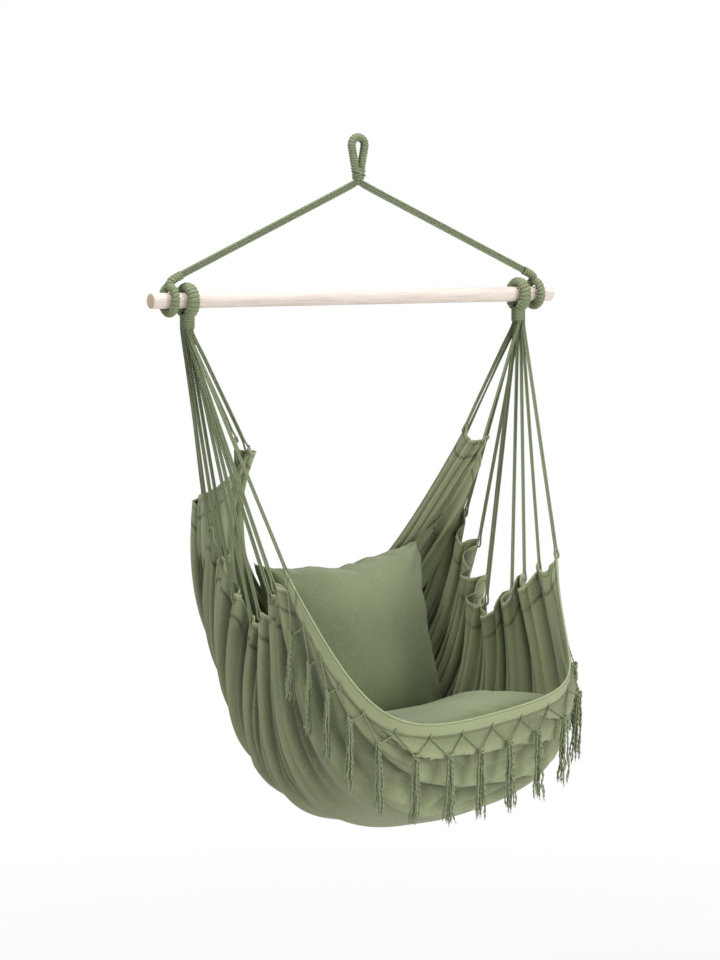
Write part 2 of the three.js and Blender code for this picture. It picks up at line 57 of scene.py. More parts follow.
# Each row of the sling: the cord attachment, the lowest point, and how the section runs between
# them. Places are shares of the cloth's half width, reach and depth, as in the part's source.
SECTION_SHARES = np.array([
    [0.865, 0.05, 0.0, 0.0, 0.45, 0.5, 0.45, 0.52, 0.2, 0.66, 0.0, 0],
    [0.883, -0.09, 0.02, 0.0, 0.5, 0.6, 0.5, 0.5, 0.1, 0.66, 0.0, 0],
    [0.97, 0.27, 0.162, 0.01, 0.52, 0.7, 0.6, 0.6, 0.0, 0.45, 0.0, 0],
    [0.943, 0.157, 0.234, 0.015, 0.5, 0.78, 0.65, 0.6, 0.0, 0.4, 0.0, 0],
    [0.931, 0.067, 0.311, 0.03, 0.42, 0.855, 0.7, 0.62, 0.0, 0.45, 0.0, 0],
    [0.901, -0.022, 0.402, 0.045, 0.3, 0.92, 0.76, 0.65, -0.04, 0.45, 0.0, 0],
    [0.871, -0.112, 0.456, 0.045, 0.11, 0.972, 0.84, 0.68, -0.1, 0.4, 0.0, 0.03],
    [0.871, -0.236, 0.441, 0.045, -0.14, 0.997, 0.88, 0.68, -0.14, 0.4, 0.02, 0.08],
    [0.901, -0.348, 0.39, 0.06, -0.43, 0.99, 0.88, 0.68, -0.1, 0.4, 0.05, 0.14],
    [0.955, -0.461, 0.35, 0.09, -0.79, 0.915, 0.84, 0.72, 0.03, 0.5, 0.1, 0.13],
    [1.0, -0.562, 0.311, 0.135, -1.0, 0.682, 0.8, 0.9, 0.3, 0.72, 0.147, 0.02],
])
LAST_ROW = len(SECTION_SHARES) - 1

# Which attachments each column of cord runs goes to, from the back of the neck to its front
OUTER_COLUMN = (2, 3, 4, 8, 9, 10)
INNER_COLUMN = (0, 5, 6, 7, 1)

CUSHION_PIECES = ("padded_seat_cushion", "padded_back_cushion")

UV_LAYER = "weave"
# Kept on the points for the canvas: painted highlight on folds and puckers, painted shade in their
# hollows and along seams, and rubbed edges
PAINTED_LIGHT_AND_WEAR_LAYER = "fold"

# Finishes: the pitch of the canvas's threads and the noise scales of its slubs, the pitches of a
# cord's fibres round it and along it, and the noise scales of the bar's grain and pores
WEAVE_PITCH = 0.0015
SLUB_SCALES = ((90, 900, 1), (900, 90, 1))
FIBRE_PITCHES = (0.0012, 0.0016)
SIDE_GRAIN = (16, 300, 300)
END_GRAIN = (60, 300, 90)
PORES_PER_GRAIN = 8

# The stage: the camera's place, its azimuth and its pitch down in degrees, and each area lamp's
# name, place, width and power
CAMERA_PLACE = (-3.8696, -5.8535, -0.1171)
CAMERA_ANGLES = (-33.5, 4.8)
LAMP_AIM = (0, -0.1, -0.9)
LAMPS = (
    ("front", (2.2, -5.0, -0.2), 3.0, 160),
    ("middle", (-1.8, -5.4, -0.2), 2.0, 48),
    ("left", (-2.4, -0.4, 3.4), 1.4, 138),
    ("top", (0.4, 0.0, 3.6), 1.8, 118),
    ("rim", (1.0, 4.6, 1.8), 3.0, 50),
)

# Laid cords: how far a strand's middle lies from the cord's, in radii
STRAND_OFFSET = 0.46
# Wound sleeves: points round them, rings in a turn, and the groove between turns, in cords
SLEEVE_SIDES = 36
RINGS_PER_TURN = 9
GROOVE_DEPTH = 0.42
# The bar's radius, and the play between the bar and an eye round it
BAR_RADIUS = 0.016
EYE_PLAY = 0.0003
# How far the foot of the top eye lies inside the neck's side and below the neck's top
FOOT_INSET = 0.004
FOOT_DEPTH = 0.006
# The splice above a bar eye, what a whipping adds to its neck, and how far round the neck its
# crossing cords reach, in radians each way
SPLICE_WIDTH = 0.0185
WHIPPING_BUILD = 0.0072
CROSSING = 1.25
# How far a fan cord runs straight down from its neck, and how far its loop goes past the hem
LEAD_DROP = 0.008
LOOP_REACH = 0.007

# The sling's rows: the first row of each span, its steps and its steps to one row, and the start,
# end and count of the rows along the front edge
ROW_SPANS = ((0, 208, 26), (8, 36, 36), (9, 48, 60))
EDGE_ROWS = (9.8, LAST_ROW, 26)
# The parts of an overhanging fold that swell and tuck back in, and which way it and the front
# edge move
SWELL_SHARE, TUCK_SHARE = 0.84, 0.16
LIP_DROP = np.array([0, 0, -0.9])
FRONT_RISE_WAY = np.array([0, 0.15, 1])
# Where a cushion meets the sling: the room kept, the deepest push, and passes that spread it
CONTACT_ROOM = 0.0022
DEEPEST_PUSH = 0.03
SPREAD_PASSES = 40
# The hems: half of the rolled hem's width, the rounding of the front edge, what the band adds to
# the canvas, the groove of a seam, the UV steps over the rim, and the hem's inner stitching
HALF_BEAD = 0.0055
ROUNDED_EDGE = 0.003
BAND_THICKNESS = 0.0026
SEAM_GROOVE = 0.0011
RIM_STEP, RIM_HEIGHT = 0.003, 0.002
HEM_STITCH = 0.0112
# The rows of the short seams beside each attachment
TACKS_ASIDE = (-0.24, -0.19, 0.19, 0.24)
# A stitch: the part of its length that shows, its sides, and its rings' places and widths
THREAD_SHARE = 0.72
BEAD_SIDES = 6
BEAD_RINGS = ((0.0, 0.25), (0.15, 0.85), (0.5, 1.0), (0.85, 0.85), (1.0, 0.25))

# How far the fringe's holes lie outside the cloth's face
HOLE_STAND = 0.0022
# A tassel: its knot above its lower end, its strands, the points of each, and its loose fibres
KNOT_HEIGHT = 0.142
STRANDS = 9
STRAND_STEPS = 11
LOOSE_FIBRES = 6

# A cushion: cells along a side, the crown's roundness, the parts of the solid's width and
# thickness that the unswollen cover takes, and the frames that it swells for
CUSHION_CELLS = 72
CROWN_POWER = 0.46
SEWN_SHARE = 0.985
CROWN_SHARE = 0.9
SWELL_FRAMES = 20

# The size of the noise lattice, a small step on the sling, and the least length divided by
LATTICE = 64
NUDGE = 1e-3
SHORTEST = 1e-9


def length(label, description, default):
    return bpy.props.FloatProperty(name=label, description=description, default=default,
                                   min=0, unit="LENGTH", precision=4)


def share(label, description, default):
    return bpy.props.FloatProperty(name=label, description=description, default=default)


def colour(label, description, red, green, blue):
    return bpy.props.FloatVectorProperty(name=label, description=description, size=3,
                                         subtype="COLOR_GAMMA", min=0, max=1,
                                         default=(red / 255, green / 255, blue / 255))


class HammockRopeSizes(bpy.types.PropertyGroup):
    """Sizes of the ropes, eyes and bar"""

    bar_drop: length("Bar drop", "Height of the hang point over the bar's middle", 0.323)
    bar_bevel: length("Bar bevel", "Width of the bevel at the bar's ends", 0.003)
    winding_cord: length("Winding cord", "Thickness of the cord wound round the top eye", 0.0054)
    bar_winding_cord: length("Bar winding cord", "Thickness of the cord wound round the bar's eyes",
                             0.0074)
    suspension_cord: length("Suspension cord", "Thickness of a rope of the V", 0.0060)
    fan_cord: length("Fan cord", "Thickness of a cord of the fans", 0.0048)
    lay: share("Lay", "Length of one twist of a rope, in diameters", 3.4)
    top_eye_tube: length("Top eye tube", "Thickness of the wound top eye", 0.018)
    top_eye_width: length("Top eye width", "Clear width of the top eye", 0.014)
    top_eye_height: length("Top eye height", "Clear height of the top eye", 0.047)
    neck_length: length("Neck length", "Height of the neck under the top eye", 0.020)
    neck_diameter: length("Neck diameter", "Thickness of the neck under its winding", 0.020)
    eye_bore: length("Eye bore", "Clear diameter of the eyes round the bar", 0.035)
    bar_eye_tube: length("Bar eye tube", "Thickness of the eyes that carry the bar", 0.018)
    bar_eye_centre: length("Bar eye centre", "Distance from the middle to a bar eye", 0.456)
    fan_eye_tube: length("Fan eye tube", "Thickness of the eyes that carry the seat", 0.020)
    fan_eye_breadth: length("Fan eye breadth", "Breadth of a fan eye along the bar", 0.027)
    fan_eye_centre: length("Fan eye centre", "Distance from the middle to a fan eye", 0.414)
    fan_neck_drop: length("Fan neck drop", "From the bar down to the neck of a fan", 0.031)
    fan_neck_length: length("Fan neck length", "Height of the whipped neck of a fan", 0.027)
    fan_neck_diameter: length("Fan neck diameter", "Thickness of a fan's neck", 0.024)
    run_pitch: length("Run pitch", "Distance between the two runs of a doubled cord", 0.0044)
    row_pitch: length("Row pitch", "Distance between rows of cords in the neck", 0.0049)
    column_pitch: length("Column pitch", "Distance between the columns of cords", 0.0098)


class HammockClothSizes(bpy.types.PropertyGroup):
    """Sizes of the sling and its fringe"""

    half_width: length("Half width", "Half of the sling's width", 0.333)
    reach: length("Reach", "How far the sling reaches in front of the bar", 0.445)
    top_drop: length("Top drop", "Height of the hang point over the back corners", 0.612)
    depth: length("Depth", "From the back corners down to the lowest cloth", 0.803)
    pleat: length("Pleat", "Height of the folds at the attachments", 0.016)
    hem_peak: length("Hem peak", "How far the hem stands up round a cord", 0.012)
    scallop: length("Scallop", "Drop of the side hem between attachments", 0.022)
    bottom_fold: length("Bottom fold", "Depth of the long fold under the front hem", 0.013)
    crease: length("Crease", "Height of the small creases", 0.0055)
    gather: length("Gather", "Height of the gathers below the side hems", 0.0112)
    front_fold: length("Front fold", "Depth of the folds below the front band", 0.0200)
    front_rise: length("Front rise", "How far the front band stands over the hem's line", 0.010)
    thickness: length("Thickness", "Thickness of the canvas", 0.0016)
    hem_bead: length("Hem bead", "Thickness of the rolled side hem", 0.0042)
    front_band: length("Front band", "Width of the sewn band along the front", 0.030)
    side_seam: length("Side seam", "From the side hem to its double stitching", 0.046)
    stitch: length("Stitch", "Length of one stitch", 0.0032)
    thread: length("Thread", "Thickness of the sewing thread", 0.0013)
    end_inset: length("End inset", "From an end of the front hem to its nearest hole", 0.020)
    fringe_inset: length("Fringe inset", "From the front edge to the fringe's holes", 0.0285)
    fringe_cord: length("Fringe cord", "Thickness of a fringe thread", 0.0037)
    tassel_length: length("Tassel length", "From a tassel's knot to its end", 0.138)
    knot_width: length("Knot width", "Width of a tassel's knot", 0.016)


class HammockCushionSizes(bpy.types.PropertyGroup):
    """Sizes of the two cushions"""

    width: length("Width", "Width of both cushions", 0.415)
    seat_length: length("Seat length", "Length of the seat cushion", 0.418)
    back_length: length("Back length", "Height of the back cushion", 0.400)
    seat_thickness: length("Seat thickness", "Thickness of the seat cushion", 0.076)
    back_thickness: length("Back thickness", "Thickness of the back cushion", 0.188)
    seat_sag: length("Seat sag", "How far the seat cushion sags between its sides", 0.022)
    seat_droop: length("Seat droop", "How far the front of the seat cushion droops", 0.012)
    top_dent: length("Top dent", "Depth of the dent in the top of the back cushion", 0.009)
    pucker: length("Pucker", "Height of the puckers along the seams", 0.0034)
    dent: length("Dent", "Depth of the soft dents", 0.0070)
    welt: length("Welt", "Thickness of the seam round a cushion", 0.0034)
    drawn_in: share("Drawn in", "How far the sides pull in between the corners", 0.07)
    seat_tilt: share("Seat tilt", "Tilt of the seat cushion, in degrees", 10)
    seat_roll: share("Seat roll", "Sideways roll of the seat cushion, in degrees", 4)
    back_lean: share("Back lean", "Lean of the back cushion, in degrees", 11)
    back_roll: share("Back roll", "Sideways roll of the back cushion, in degrees", 4)
    pressure: share("Pressure", "Pressure of the filling in the simulation", 4)
    swell_cap: length("Swell cap", "Most that the filling may move the cover", 0.012)


class HammockColours(bpy.types.PropertyGroup):
    """Colours of the finishes"""

    cloth: colour("Cloth", "Canvas of the sling", 136, 144, 110)
    cushion: colour("Cushion", "Canvas of the cushions", 122, 131, 99)
    cord: colour("Cord", "Cotton ropes and cords", 152, 160, 124)
    fringe: colour("Fringe", "Fringe threads", 222, 227, 192)
    thread: colour("Thread", "Sewing thread", 78, 86, 62)
    wood: colour("Wood", "Side of the wooden bar", 231, 217, 208)
    wood_end: colour("Wood end", "End grain of the bar", 205, 183, 160)
    floor: colour("Floor", "Floor under the chair", 236, 236, 234)


PROPERTY_GROUPS = (
    ("hammock_ropes", HammockRopeSizes),
    ("hammock_cloth", HammockClothSizes),
    ("hammock_cushions", HammockCushionSizes),
    ("hammock_colours", HammockColours),
)


def ropes():
    return bpy.context.scene.hammock_ropes


def cloth():
    return bpy.context.scene.hammock_cloth


def cushions():
    return bpy.context.scene.hammock_cushions


def linear(value, gain):
    """An sRGB colour as a linear one with alpha, made lighter or darker by gain"""
    channels = [c / 12.92 if c <= 0.04045 else ((c + 0.055) / 1.055) ** 2.4 for c in value]
    return [min(c * gain, 1) for c in channels] + [1]


class Nodes:
    """A node tree and short ways to add to it"""

    def __init__(self, tree):
        self.tree = tree

    def add(self, kind, inputs, **settings):
        """Adds a node. Inputs are values or outputs of other nodes, by name or index."""
        node = self.tree.nodes.new(kind)
        for key, value in settings.items():
            setattr(node, key, value)
        for key, value in inputs.items():
            if isinstance(value, bpy.types.NodeSocket):
                self.tree.links.new(value, node.inputs[key])
            else:
                node.inputs[key].default_value = value
        return node

    def math(self, operation, first, second=0.0):
        return self.add("ShaderNodeMath", {0: first, 1: second}, operation=operation).outputs[0]

    def weighted(self, *terms):
        """The sum of values, each times its weight"""
        total, *rest = (self.math("MULTIPLY", value, weight) for value, weight in terms)
        for term in rest:
            total = self.math("ADD", total, term)
        return total

    def show_white(self, lit, white, share, output):
        """Shows white in place of the lit surface to camera, mirrored and refracted rays, by a
        share from 0 to 1"""
        rays = self.add("ShaderNodeLightPath", {}).outputs
        shown = rays["Is Camera Ray"]
        for kind in ("Is Glossy Ray", "Is Transmission Ray"):
            shown = self.math("MAXIMUM", shown, rays[kind])
        mix = self.add("ShaderNodeMixShader",
                       {0: self.math("MULTIPLY", shown, share), 1: lit, 2: white})
        self.tree.links.new(mix.outputs[0], self.tree.nodes[output].inputs["Surface"])


class Shading(Nodes):
    """A material and the nodes that feed its one shader"""

    def __init__(self, name, roughness, sheen=0.0, specular=0.3):
        self.material = bpy.data.materials.new(name)
        self.material.use_nodes = True
        super().__init__(self.material.node_tree)
        self.shader = self.tree.nodes["Principled BSDF"]
        for socket, value in (("Roughness", roughness), ("Sheen Weight", sheen),
                              ("Sheen Roughness", 0.5), ("Specular IOR Level", specular)):
            self.shader.inputs[socket].default_value = value

    def object_place(self):
        return self.add("ShaderNodeTexCoord", {}).outputs["Object"]

    def weave_place(self):
        """The UV in metres, and its two parts"""
        uv = self.add("ShaderNodeUVMap", {}, uv_map=UV_LAYER).outputs[0]
        parts = self.add("ShaderNodeSeparateXYZ", {0: uv}).outputs
        return uv, parts[0], parts[1]

    def noise(self, vector, scale, detail=2.0):
        node = self.add("ShaderNodeTexNoise", {"Vector": vector, "Scale": scale, "Detail": detail})
        return node.outputs[0]

    def streaks(self, vector, scales, detail=2.0):
        """Noise with its own scale along each axis"""
        stretched = self.add("ShaderNodeMapping", {"Vector": vector, "Scale": scales}).outputs[0]
        return self.noise(stretched, 1.0, detail)

    def tint(self, factor, value, stops):
        """Feeds the base colour with tones of one colour. Stops are places and gains."""
        ramp = self.add("ShaderNodeValToRGB", {"Fac": factor})
        elements = ramp.color_ramp.elements
        for index, (position, gain) in ((0, stops[0]), (1, stops[-1])):
            elements[index].position = position
            elements[index].color = linear(value, gain)
        for position, gain in stops[1:-1]:
            elements.new(position).color = linear(value, gain)
        self.tree.links.new(ramp.outputs[0], self.shader.inputs["Base Color"])

    def roughen(self, height, strength, distance):
        bump = self.add("ShaderNodeBump", {"Height": height, "Strength": strength,
                                           "Distance": distance})
        self.tree.links.new(bump.outputs[0], self.shader.inputs["Normal"])


def canvas(name, value):
    """A washed plain weave with slubs, on UV in metres, paler where the fold attribute is high and
    darker where it is low: painted highlight and painted shade of the folds, with rubbed edges
    """
    shading = Shading(name, roughness=0.88, sheen=0.18, specular=0.2)
    uv, *ways = shading.weave_place()
    weave = shading.math("MULTIPLY", *(
        shading.math("SINE", shading.math("MULTIPLY", way, math.tau / WEAVE_PITCH))
        for way in ways))
    slubs = shading.math("ADD", *(shading.streaks(uv, scales) for scales in SLUB_SCALES))
    faded = shading.noise(shading.object_place(), 6.0, 3.0)
    # Painted highlight on ridges and puckers, painted shade in folds, dents and seams, and rubbed
    # edges, kept on the points
    painted_light_and_wear = shading.add("ShaderNodeAttribute", {}, attribute_name=PAINTED_LIGHT_AND_WEAR_LAYER).outputs["Fac"]
    tone = shading.weighted((slubs, 0.55), (faded, 0.45), (weave, 0.04), (painted_light_and_wear, 0.55))
    shading.tint(shading.math("MULTIPLY", tone, 0.6), value,
                 ((0.18, 0.42), (0.46, 1), (0.74, 1.4)))
    shading.roughen(shading.weighted((weave, 0.3), (slubs, 1)), 0.45, 0.0006)
    return shading.material


def laid_cord(name, value):
    """Twisted cotton: fine fibres across the strands, on UV round and along in metres"""
    shading = Shading(name, roughness=0.92, sheen=0.25, specular=0.15)
    uv, *ways = shading.weave_place()
    slant = shading.weighted(*((way, math.tau / pitch) for way, pitch in zip(ways, FIBRE_PITCHES)))
    fuzz = shading.noise(uv, 1400.0, 3.0)
    faded = shading.noise(shading.object_place(), 45.0)
    shading.tint(shading.weighted((fuzz, 0.6), (faded, 0.4)), value,
                 ((0.3, 0.8), (0.52, 1), (0.75, 1.18)))
    shading.roughen(shading.weighted((shading.math("SINE", slant), 0.25), (fuzz, 1)), 0.45, 0.0004)
    return shading.material


def wood_grain(name, value, scales):
    """Pale beech: long grain lines and small pores, on Object coordinates"""
    shading = Shading(name, roughness=0.5, specular=0.35)
    place = shading.object_place()
    grain = shading.streaks(place, scales, 5.0)
    pores = shading.streaks(place, [PORES_PER_GRAIN * scale for scale in scales])
    tone = shading.weighted((grain, 0.75), (pores, 0.25))
    shading.tint(tone, value, ((0.36, 0.82), (0.48, 0.93), (0.6, 1.02)))
    shading.roughen(tone, 0.2, 0.0004)
    return shading.material


# Each finish of cloth or cord: what makes its material, its colour and its slot
FINISHES = {
    "cotton_rope": (laid_cord, "cord", "cotton_rope"),
    "fringe_thread": (laid_cord, "fringe", "fringe_thread"),
    "sewing_thread": (laid_cord, "thread", "seat_cloth"),
    "canvas_sling": (canvas, "cloth", "seat_cloth"),
    "canvas_cushion": (canvas, "cushion", "cushion_cover"),
}


def grid_corners(rows, columns):
    """Row and column of each of the four corners of a grid's quads"""
    i, j = np.meshgrid(np.arange(rows), np.arange(columns), indexing="ij")
    return (i, j), (i, j + 1), (i + 1, j + 1), (i + 1, j)


def grid_faces(rows, columns, closed=False):
    """Quads of a grid of points. A closed grid joins its last column to its first."""
    corners = grid_corners(rows - 1, columns if closed else columns - 1)
    return np.stack([i * columns + j % columns for i, j in corners], axis=-1).reshape(-1, 4)


def grid_uvs(u, v):
    """UVs of each corner of a grid's quads. A closed grid has its first column again at its
    end."""
    pairs = [np.stack([u[corner], v[corner]], axis=-1)
             for corner in grid_corners(u.shape[0] - 1, u.shape[1] - 1)]
    return np.stack(pairs, axis=-2).reshape(-1, 4, 2)


def tube_uvs(u, v):
    """UVs of a closed tube's quads, from the places round it and along it"""
    return grid_uvs(*np.broadcast_arrays(u, v[:, None]))


def rim_loop(rows, columns):
    """Indexes of the points round a grid's rim, once round"""
    loop = ([(0, j) for j in range(columns)] + [(i, columns - 1) for i in range(1, rows)]
            + [(rows - 1, j) for j in range(columns - 2, -1, -1)]
            + [(i, 0) for i in range(rows - 2, 0, -1)])
    return np.array([i * columns + j for i, j in loop])


def add_piece(name, parts, finish, body, nodes=()):
    """Makes one object from parts of points, quads and UVs, and puts it on its body"""
    points, faces, uvs, start = [], [], [], 0
    for part_points, part_faces, part_uvs in parts:
        points.append(part_points)
        faces.append(part_faces + start)
        uvs.append(part_uvs)
        start += len(part_points)
    points, faces, uvs = np.concatenate(points), np.concatenate(faces), np.concatenate(uvs)
    if not np.isfinite(points).all():
        raise ValueError(f"{name} has a point that is not finite")
    mesh = bpy.data.meshes.new(name)
    mesh.from_pydata(points.tolist(), [], faces.tolist())
    layer = mesh.uv_layers.new(name=UV_LAYER)
    layer.data.foreach_set("uv", uvs.reshape(-1).astype(np.float32))
    mesh.shade_smooth()
    make, tint, slot = FINISHES[finish]
    mesh.materials.append(bpy.data.materials.get(finish)
                          or make(finish, getattr(bpy.context.scene.hammock_colours, tint)))
    piece = bpy.data.objects.new(name, mesh)
    bpy.context.scene.collection.objects.link(piece)
    settle(piece, body, nodes)
    return piece


def settle(piece, body, nodes):
    """Puts a piece on its body, in place of its CAD nodes"""
    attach(piece, body)
    if nodes:
        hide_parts(*nodes)


def mark_folds(piece, heights):
    """Keeps how far each point stands out, from -1 to 1, for the canvas's painted highlight and
    painted shade and its rubbed edges
    """
    layer = piece.data.attributes.new(PAINTED_LIGHT_AND_WEAR_LAYER, "FLOAT", "POINT")
    layer.data.foreach_set("value", np.clip(heights, -1, 1).reshape(-1).astype(np.float32))


def piece_points(piece):
    return np.array([v.co[:] for v in piece.data.vertices])


def place_points(piece, points):
    piece.data.vertices.foreach_set("co", points.reshape(-1).astype(np.float32))
    piece.data.update()


def unit(vectors):
    """Vectors of length 1 along the last axis"""
    return vectors / np.linalg.norm(vectors, axis=-1, keepdims=True)


def run_lengths(grid, axis=0):
    """Distance of each point from the start of its line, along one axis"""
    steps = np.linalg.norm(np.diff(grid, axis=axis), axis=-1)
    start = np.zeros_like(np.take(steps, [0], axis=axis))
    return np.cumsum(np.concatenate([start, steps], axis=axis), axis=axis)


def at_places(places, along, points):
    """Points of a line at places along it"""
    return np.stack([np.interp(places, along, column) for column in points.T], axis=-1)


def between(start, end, low, high, s):
    """The point at s on a straight run that leaves start at low and reaches end at high"""
    return start * (high - s) / (high - low) + end * (s - low) / (high - low)


def evenly(points, spacing):
    """A smooth curve through the points, cut into even steps, and each step's place along it"""
    points = np.asarray(points, float)
    padded = np.vstack([2 * points[0] - points[1], points, 2 * points[-1] - points[-2]])
    pieces = []
    for k in range(1, len(padded) - 2):
        four = padded[k - 1:k + 3]
        runs = list(zip(four[:-1], four[1:]))
        count = max(2, int(np.linalg.norm(four[2] - four[1]) / spacing * 2))
        t = np.linspace(0, 1, count, endpoint=False)[:, None]
        knots = np.cumsum([0, *(max(np.linalg.norm(q - p), SHORTEST) ** 0.5 for p, q in runs)])
        s = knots[1] + t * (knots[2] - knots[1])
        straight = [between(p, q, low, high, s)
                    for (p, q), low, high in zip(runs, knots[:-1], knots[1:])]
        bent = [between(straight[n], straight[n + 1], knots[n], knots[n + 2], s) for n in (0, 1)]
        pieces.append(between(*bent, knots[1], knots[2], s))
    curve = np.vstack([*pieces, points[-1:]])
    along = run_lengths(curve)
    places = np.linspace(0, along[-1], max(3, int(round(along[-1] / spacing)) + 1))
    return at_places(places, along, curve), places


def carried_frames(path):
    """Two directions square to a path that turn as little as they can"""
    tangents = unit(np.gradient(path, axis=0))
    side = np.array((1, 0, 0) if abs(tangents[0][0]) < 0.7 else (0, 1, 0), float)
    sides = np.empty_like(path)
    for k, tangent in enumerate(tangents):
        side = side - tangent * side.dot(tangent)
        side /= np.linalg.norm(side)
        sides[k] = side
    return sides, np.cross(tangents, sides)


def twisted_cord(points, diameter, strands=3, sides=12, lay=3.4, step=0.42, phase=0.0):
    """A laid cord of several strands that turn round its path, with rounded ends. Lay and step
    are in diameters."""
    radius = diameter / 2
    path, along = evenly(points, step * diameter)
    first, second = carried_frames(path)
    angles = math.tau * np.arange(sides) / sides
    lobe = np.abs((angles * strands / math.tau + 0.5) % 1 - 0.5) * math.tau / strands
    offset = STRAND_OFFSET * radius
    strand = radius - offset
    reach = offset * np.cos(lobe) + np.sqrt(strand ** 2 - (offset * np.sin(lobe)) ** 2)
    turned = angles[None, :] + (phase + math.tau * along / (lay * diameter))[:, None]
    ends = np.clip(np.minimum(along, along[-1] - along) / radius, 0, 1)
    narrowed = np.sqrt(np.clip(1 - (1 - ends) ** 2, 0.02, 1))[:, None] * reach[None, :]
    spokes = (np.cos(turned)[..., None] * first[:, None]
              + np.sin(turned)[..., None] * second[:, None])
    ring = path[:, None] + narrowed[..., None] * spokes
    return (ring.reshape(-1, 3), grid_faces(len(path), sides, True),
            tube_uvs(np.arange(sides + 1) * math.tau * radius / sides, along))


def wound_sleeve(points, diameter, cord, binormal, breadth=1.0):
    """A core under close turns of cord: a swept tube whose ridges run round it as a helix"""
    radius = diameter / 2
    path, along = evenly(points, cord / 6)
    turns = max(1, int(round(along[-1] / cord)))
    pitch = along[-1] / turns
    second = np.broadcast_to(np.array(binormal, float), path.shape)
    first = unit(np.cross(unit(np.gradient(path, axis=0)), second))
    rows = (turns + 1) * RINGS_PER_TURN + 1
    i = np.arange(rows)[:, None]
    j = np.arange(SLEEVE_SIDES)[None, :]
    s = np.clip((i / RINGS_PER_TURN - j / SLEEVE_SIDES) * pitch, 0, along[-1])
    phase = (i / RINGS_PER_TURN) % 1
    bulge = radius - GROOVE_DEPTH * cord * (1 - np.sqrt(1 - (2 * phase - 1) ** 2))
    angles = math.tau * j / SLEEVE_SIDES
    spokes = (at_places(s, along, first) * (bulge * np.cos(angles))[..., None]
              + at_places(s, along, second) * (bulge * breadth * np.sin(angles))[..., None])
    ring = (at_places(s, along, path) + spokes).reshape(-1, 3)
    a, b = np.meshgrid(np.arange(rows - 1), np.arange(SLEEVE_SIDES), indexing="ij")
    start = a * SLEEVE_SIDES
    last = b == SLEEVE_SIDES - 1
    back = RINGS_PER_TURN * SLEEVE_SIDES
    near = np.where(last, start - back, start + b + 1)
    far = np.where(last, start + SLEEVE_SIDES - back, start + SLEEVE_SIDES + b + 1)
    faces = np.stack([start + b, near, far, start + SLEEVE_SIDES + b], axis=-1)[..., ::-1]
    keep = ~(last & (a < RINGS_PER_TURN))
    uvs = tube_uvs(np.arange(SLEEVE_SIDES + 1) * math.tau * radius / SLEEVE_SIDES,
                   np.arange(rows) * pitch / RINGS_PER_TURN)
    uvs = uvs.reshape(rows - 1, SLEEVE_SIDES, 4, 2)[..., ::-1, :]
    return ring, faces[keep], uvs[keep]


def ring_path(centre, radius, start, sweep):
    """Part of a circle round the bar, from the top at angle 0 towards +Y"""
    angles = np.linspace(start, start + sweep, 72)
    ring = np.stack([angles * 0, np.sin(angles), np.cos(angles)], axis=1)
    return np.asarray(centre) + radius * ring


def catmull(a, b, c, d, t):
    """A smooth run from b to c, with a before it and d after it"""
    return 0.5 * (2 * b + (c - a) * t + (2 * a - 5 * b + 4 * c - d) * t ** 2
                  + (3 * b - a - 3 * c + d) * t ** 3)


def bezier(a, b, c, d, t):
    """A curve from a to d that sets out towards b and arrives from c"""
    u = 1 - t
    return u ** 3 * a + 3 * u * u * t * b + 3 * u * t * t * c + t ** 3 * d


def value_noise(x, y, seed):
    """Smooth noise from -1 to 1 on a seeded lattice"""
    lattice = np.random.default_rng(seed).uniform(-1, 1, (LATTICE, LATTICE))
    i, j = np.floor(x).astype(int), np.floor(y).astype(int)
    p, q = smoothstep(0, 1, x - i), smoothstep(0, 1, y - j)

    def corner(a, b):
        return lattice[(i + a) % LATTICE, (j + b) % LATTICE]

    return ((corner(0, 0) * (1 - p) + corner(1, 0) * p) * (1 - q)
            + (corner(0, 1) * (1 - p) + corner(1, 1) * p) * q)


def smoothstep(low, high, value):
    """0 up to low, 1 from high on, and a soft step between"""
    t = np.clip((value - low) / (high - low), 0, 1)
    return t * t * (3 - 2 * t)


def hump(place, centre, width):
    """A smooth hump of height 1"""
    return np.exp(-((place - centre) / width) ** 2)


def sling_point(row, across):
    """A point of the sling's plain surface. Rows run from the back to the front edge, and
    across from the left hem at -1 to the right hem at 1."""
    sizes = cloth()
    index = np.minimum(np.floor(row).astype(int), LAST_ROW - 1)
    four = [SECTION_SHARES[np.clip(index + k, 0, LAST_ROW)] for k in (-1, 0, 1, 2)]
    shares = catmull(*four, (row - index)[..., None])
    hem_x, hem_y, hem_z, low_x, low_y, low_z, flat, down, lean, sweep, roll, fuller = (
        shares[..., k] for k in range(12))
    side = np.sign(across)
    full = np.where(side > 0, fuller, 0)
    t = np.abs(across)
    x = bezier(low_x, low_x + side * (flat + full) * hem_x,
               side * hem_x * (1 - lean + full), side * hem_x, t)
    y = bezier(low_y, low_y, hem_y + sweep * (low_y - hem_y), hem_y, t)
    z = bezier(low_z, low_z, hem_z + down * (low_z - hem_z), hem_z, t)
    soft = (1 - np.cos(math.tau * row)) / 2
    pointed = np.abs(np.sin(math.pi * row))
    droop = sizes.scallop * (t ** 3 * soft + t ** 12 * 0.6 * (pointed - soft))
    rise = roll * sizes.half_width * x * (1 - t * t) - droop
    return np.stack([sizes.half_width * x, sizes.reach * y,
                     rise - sizes.top_drop - sizes.depth * z], axis=-1)


def sling_normal(row, across):
    """The way out of the plain surface, from small steps along it"""
    row_step = np.where(row + NUDGE > LAST_ROW, -NUDGE, NUDGE)
    across_step = np.where(across > 0, -NUDGE, NUDGE)
    here = sling_point(row, across)
    along_row = sling_point(row + row_step, across) - here
    along_section = sling_point(row, across + across_step) - here
    return unit(np.cross(along_section * np.sign(across_step)[..., None],
                         along_row * np.sign(row_step)[..., None]))


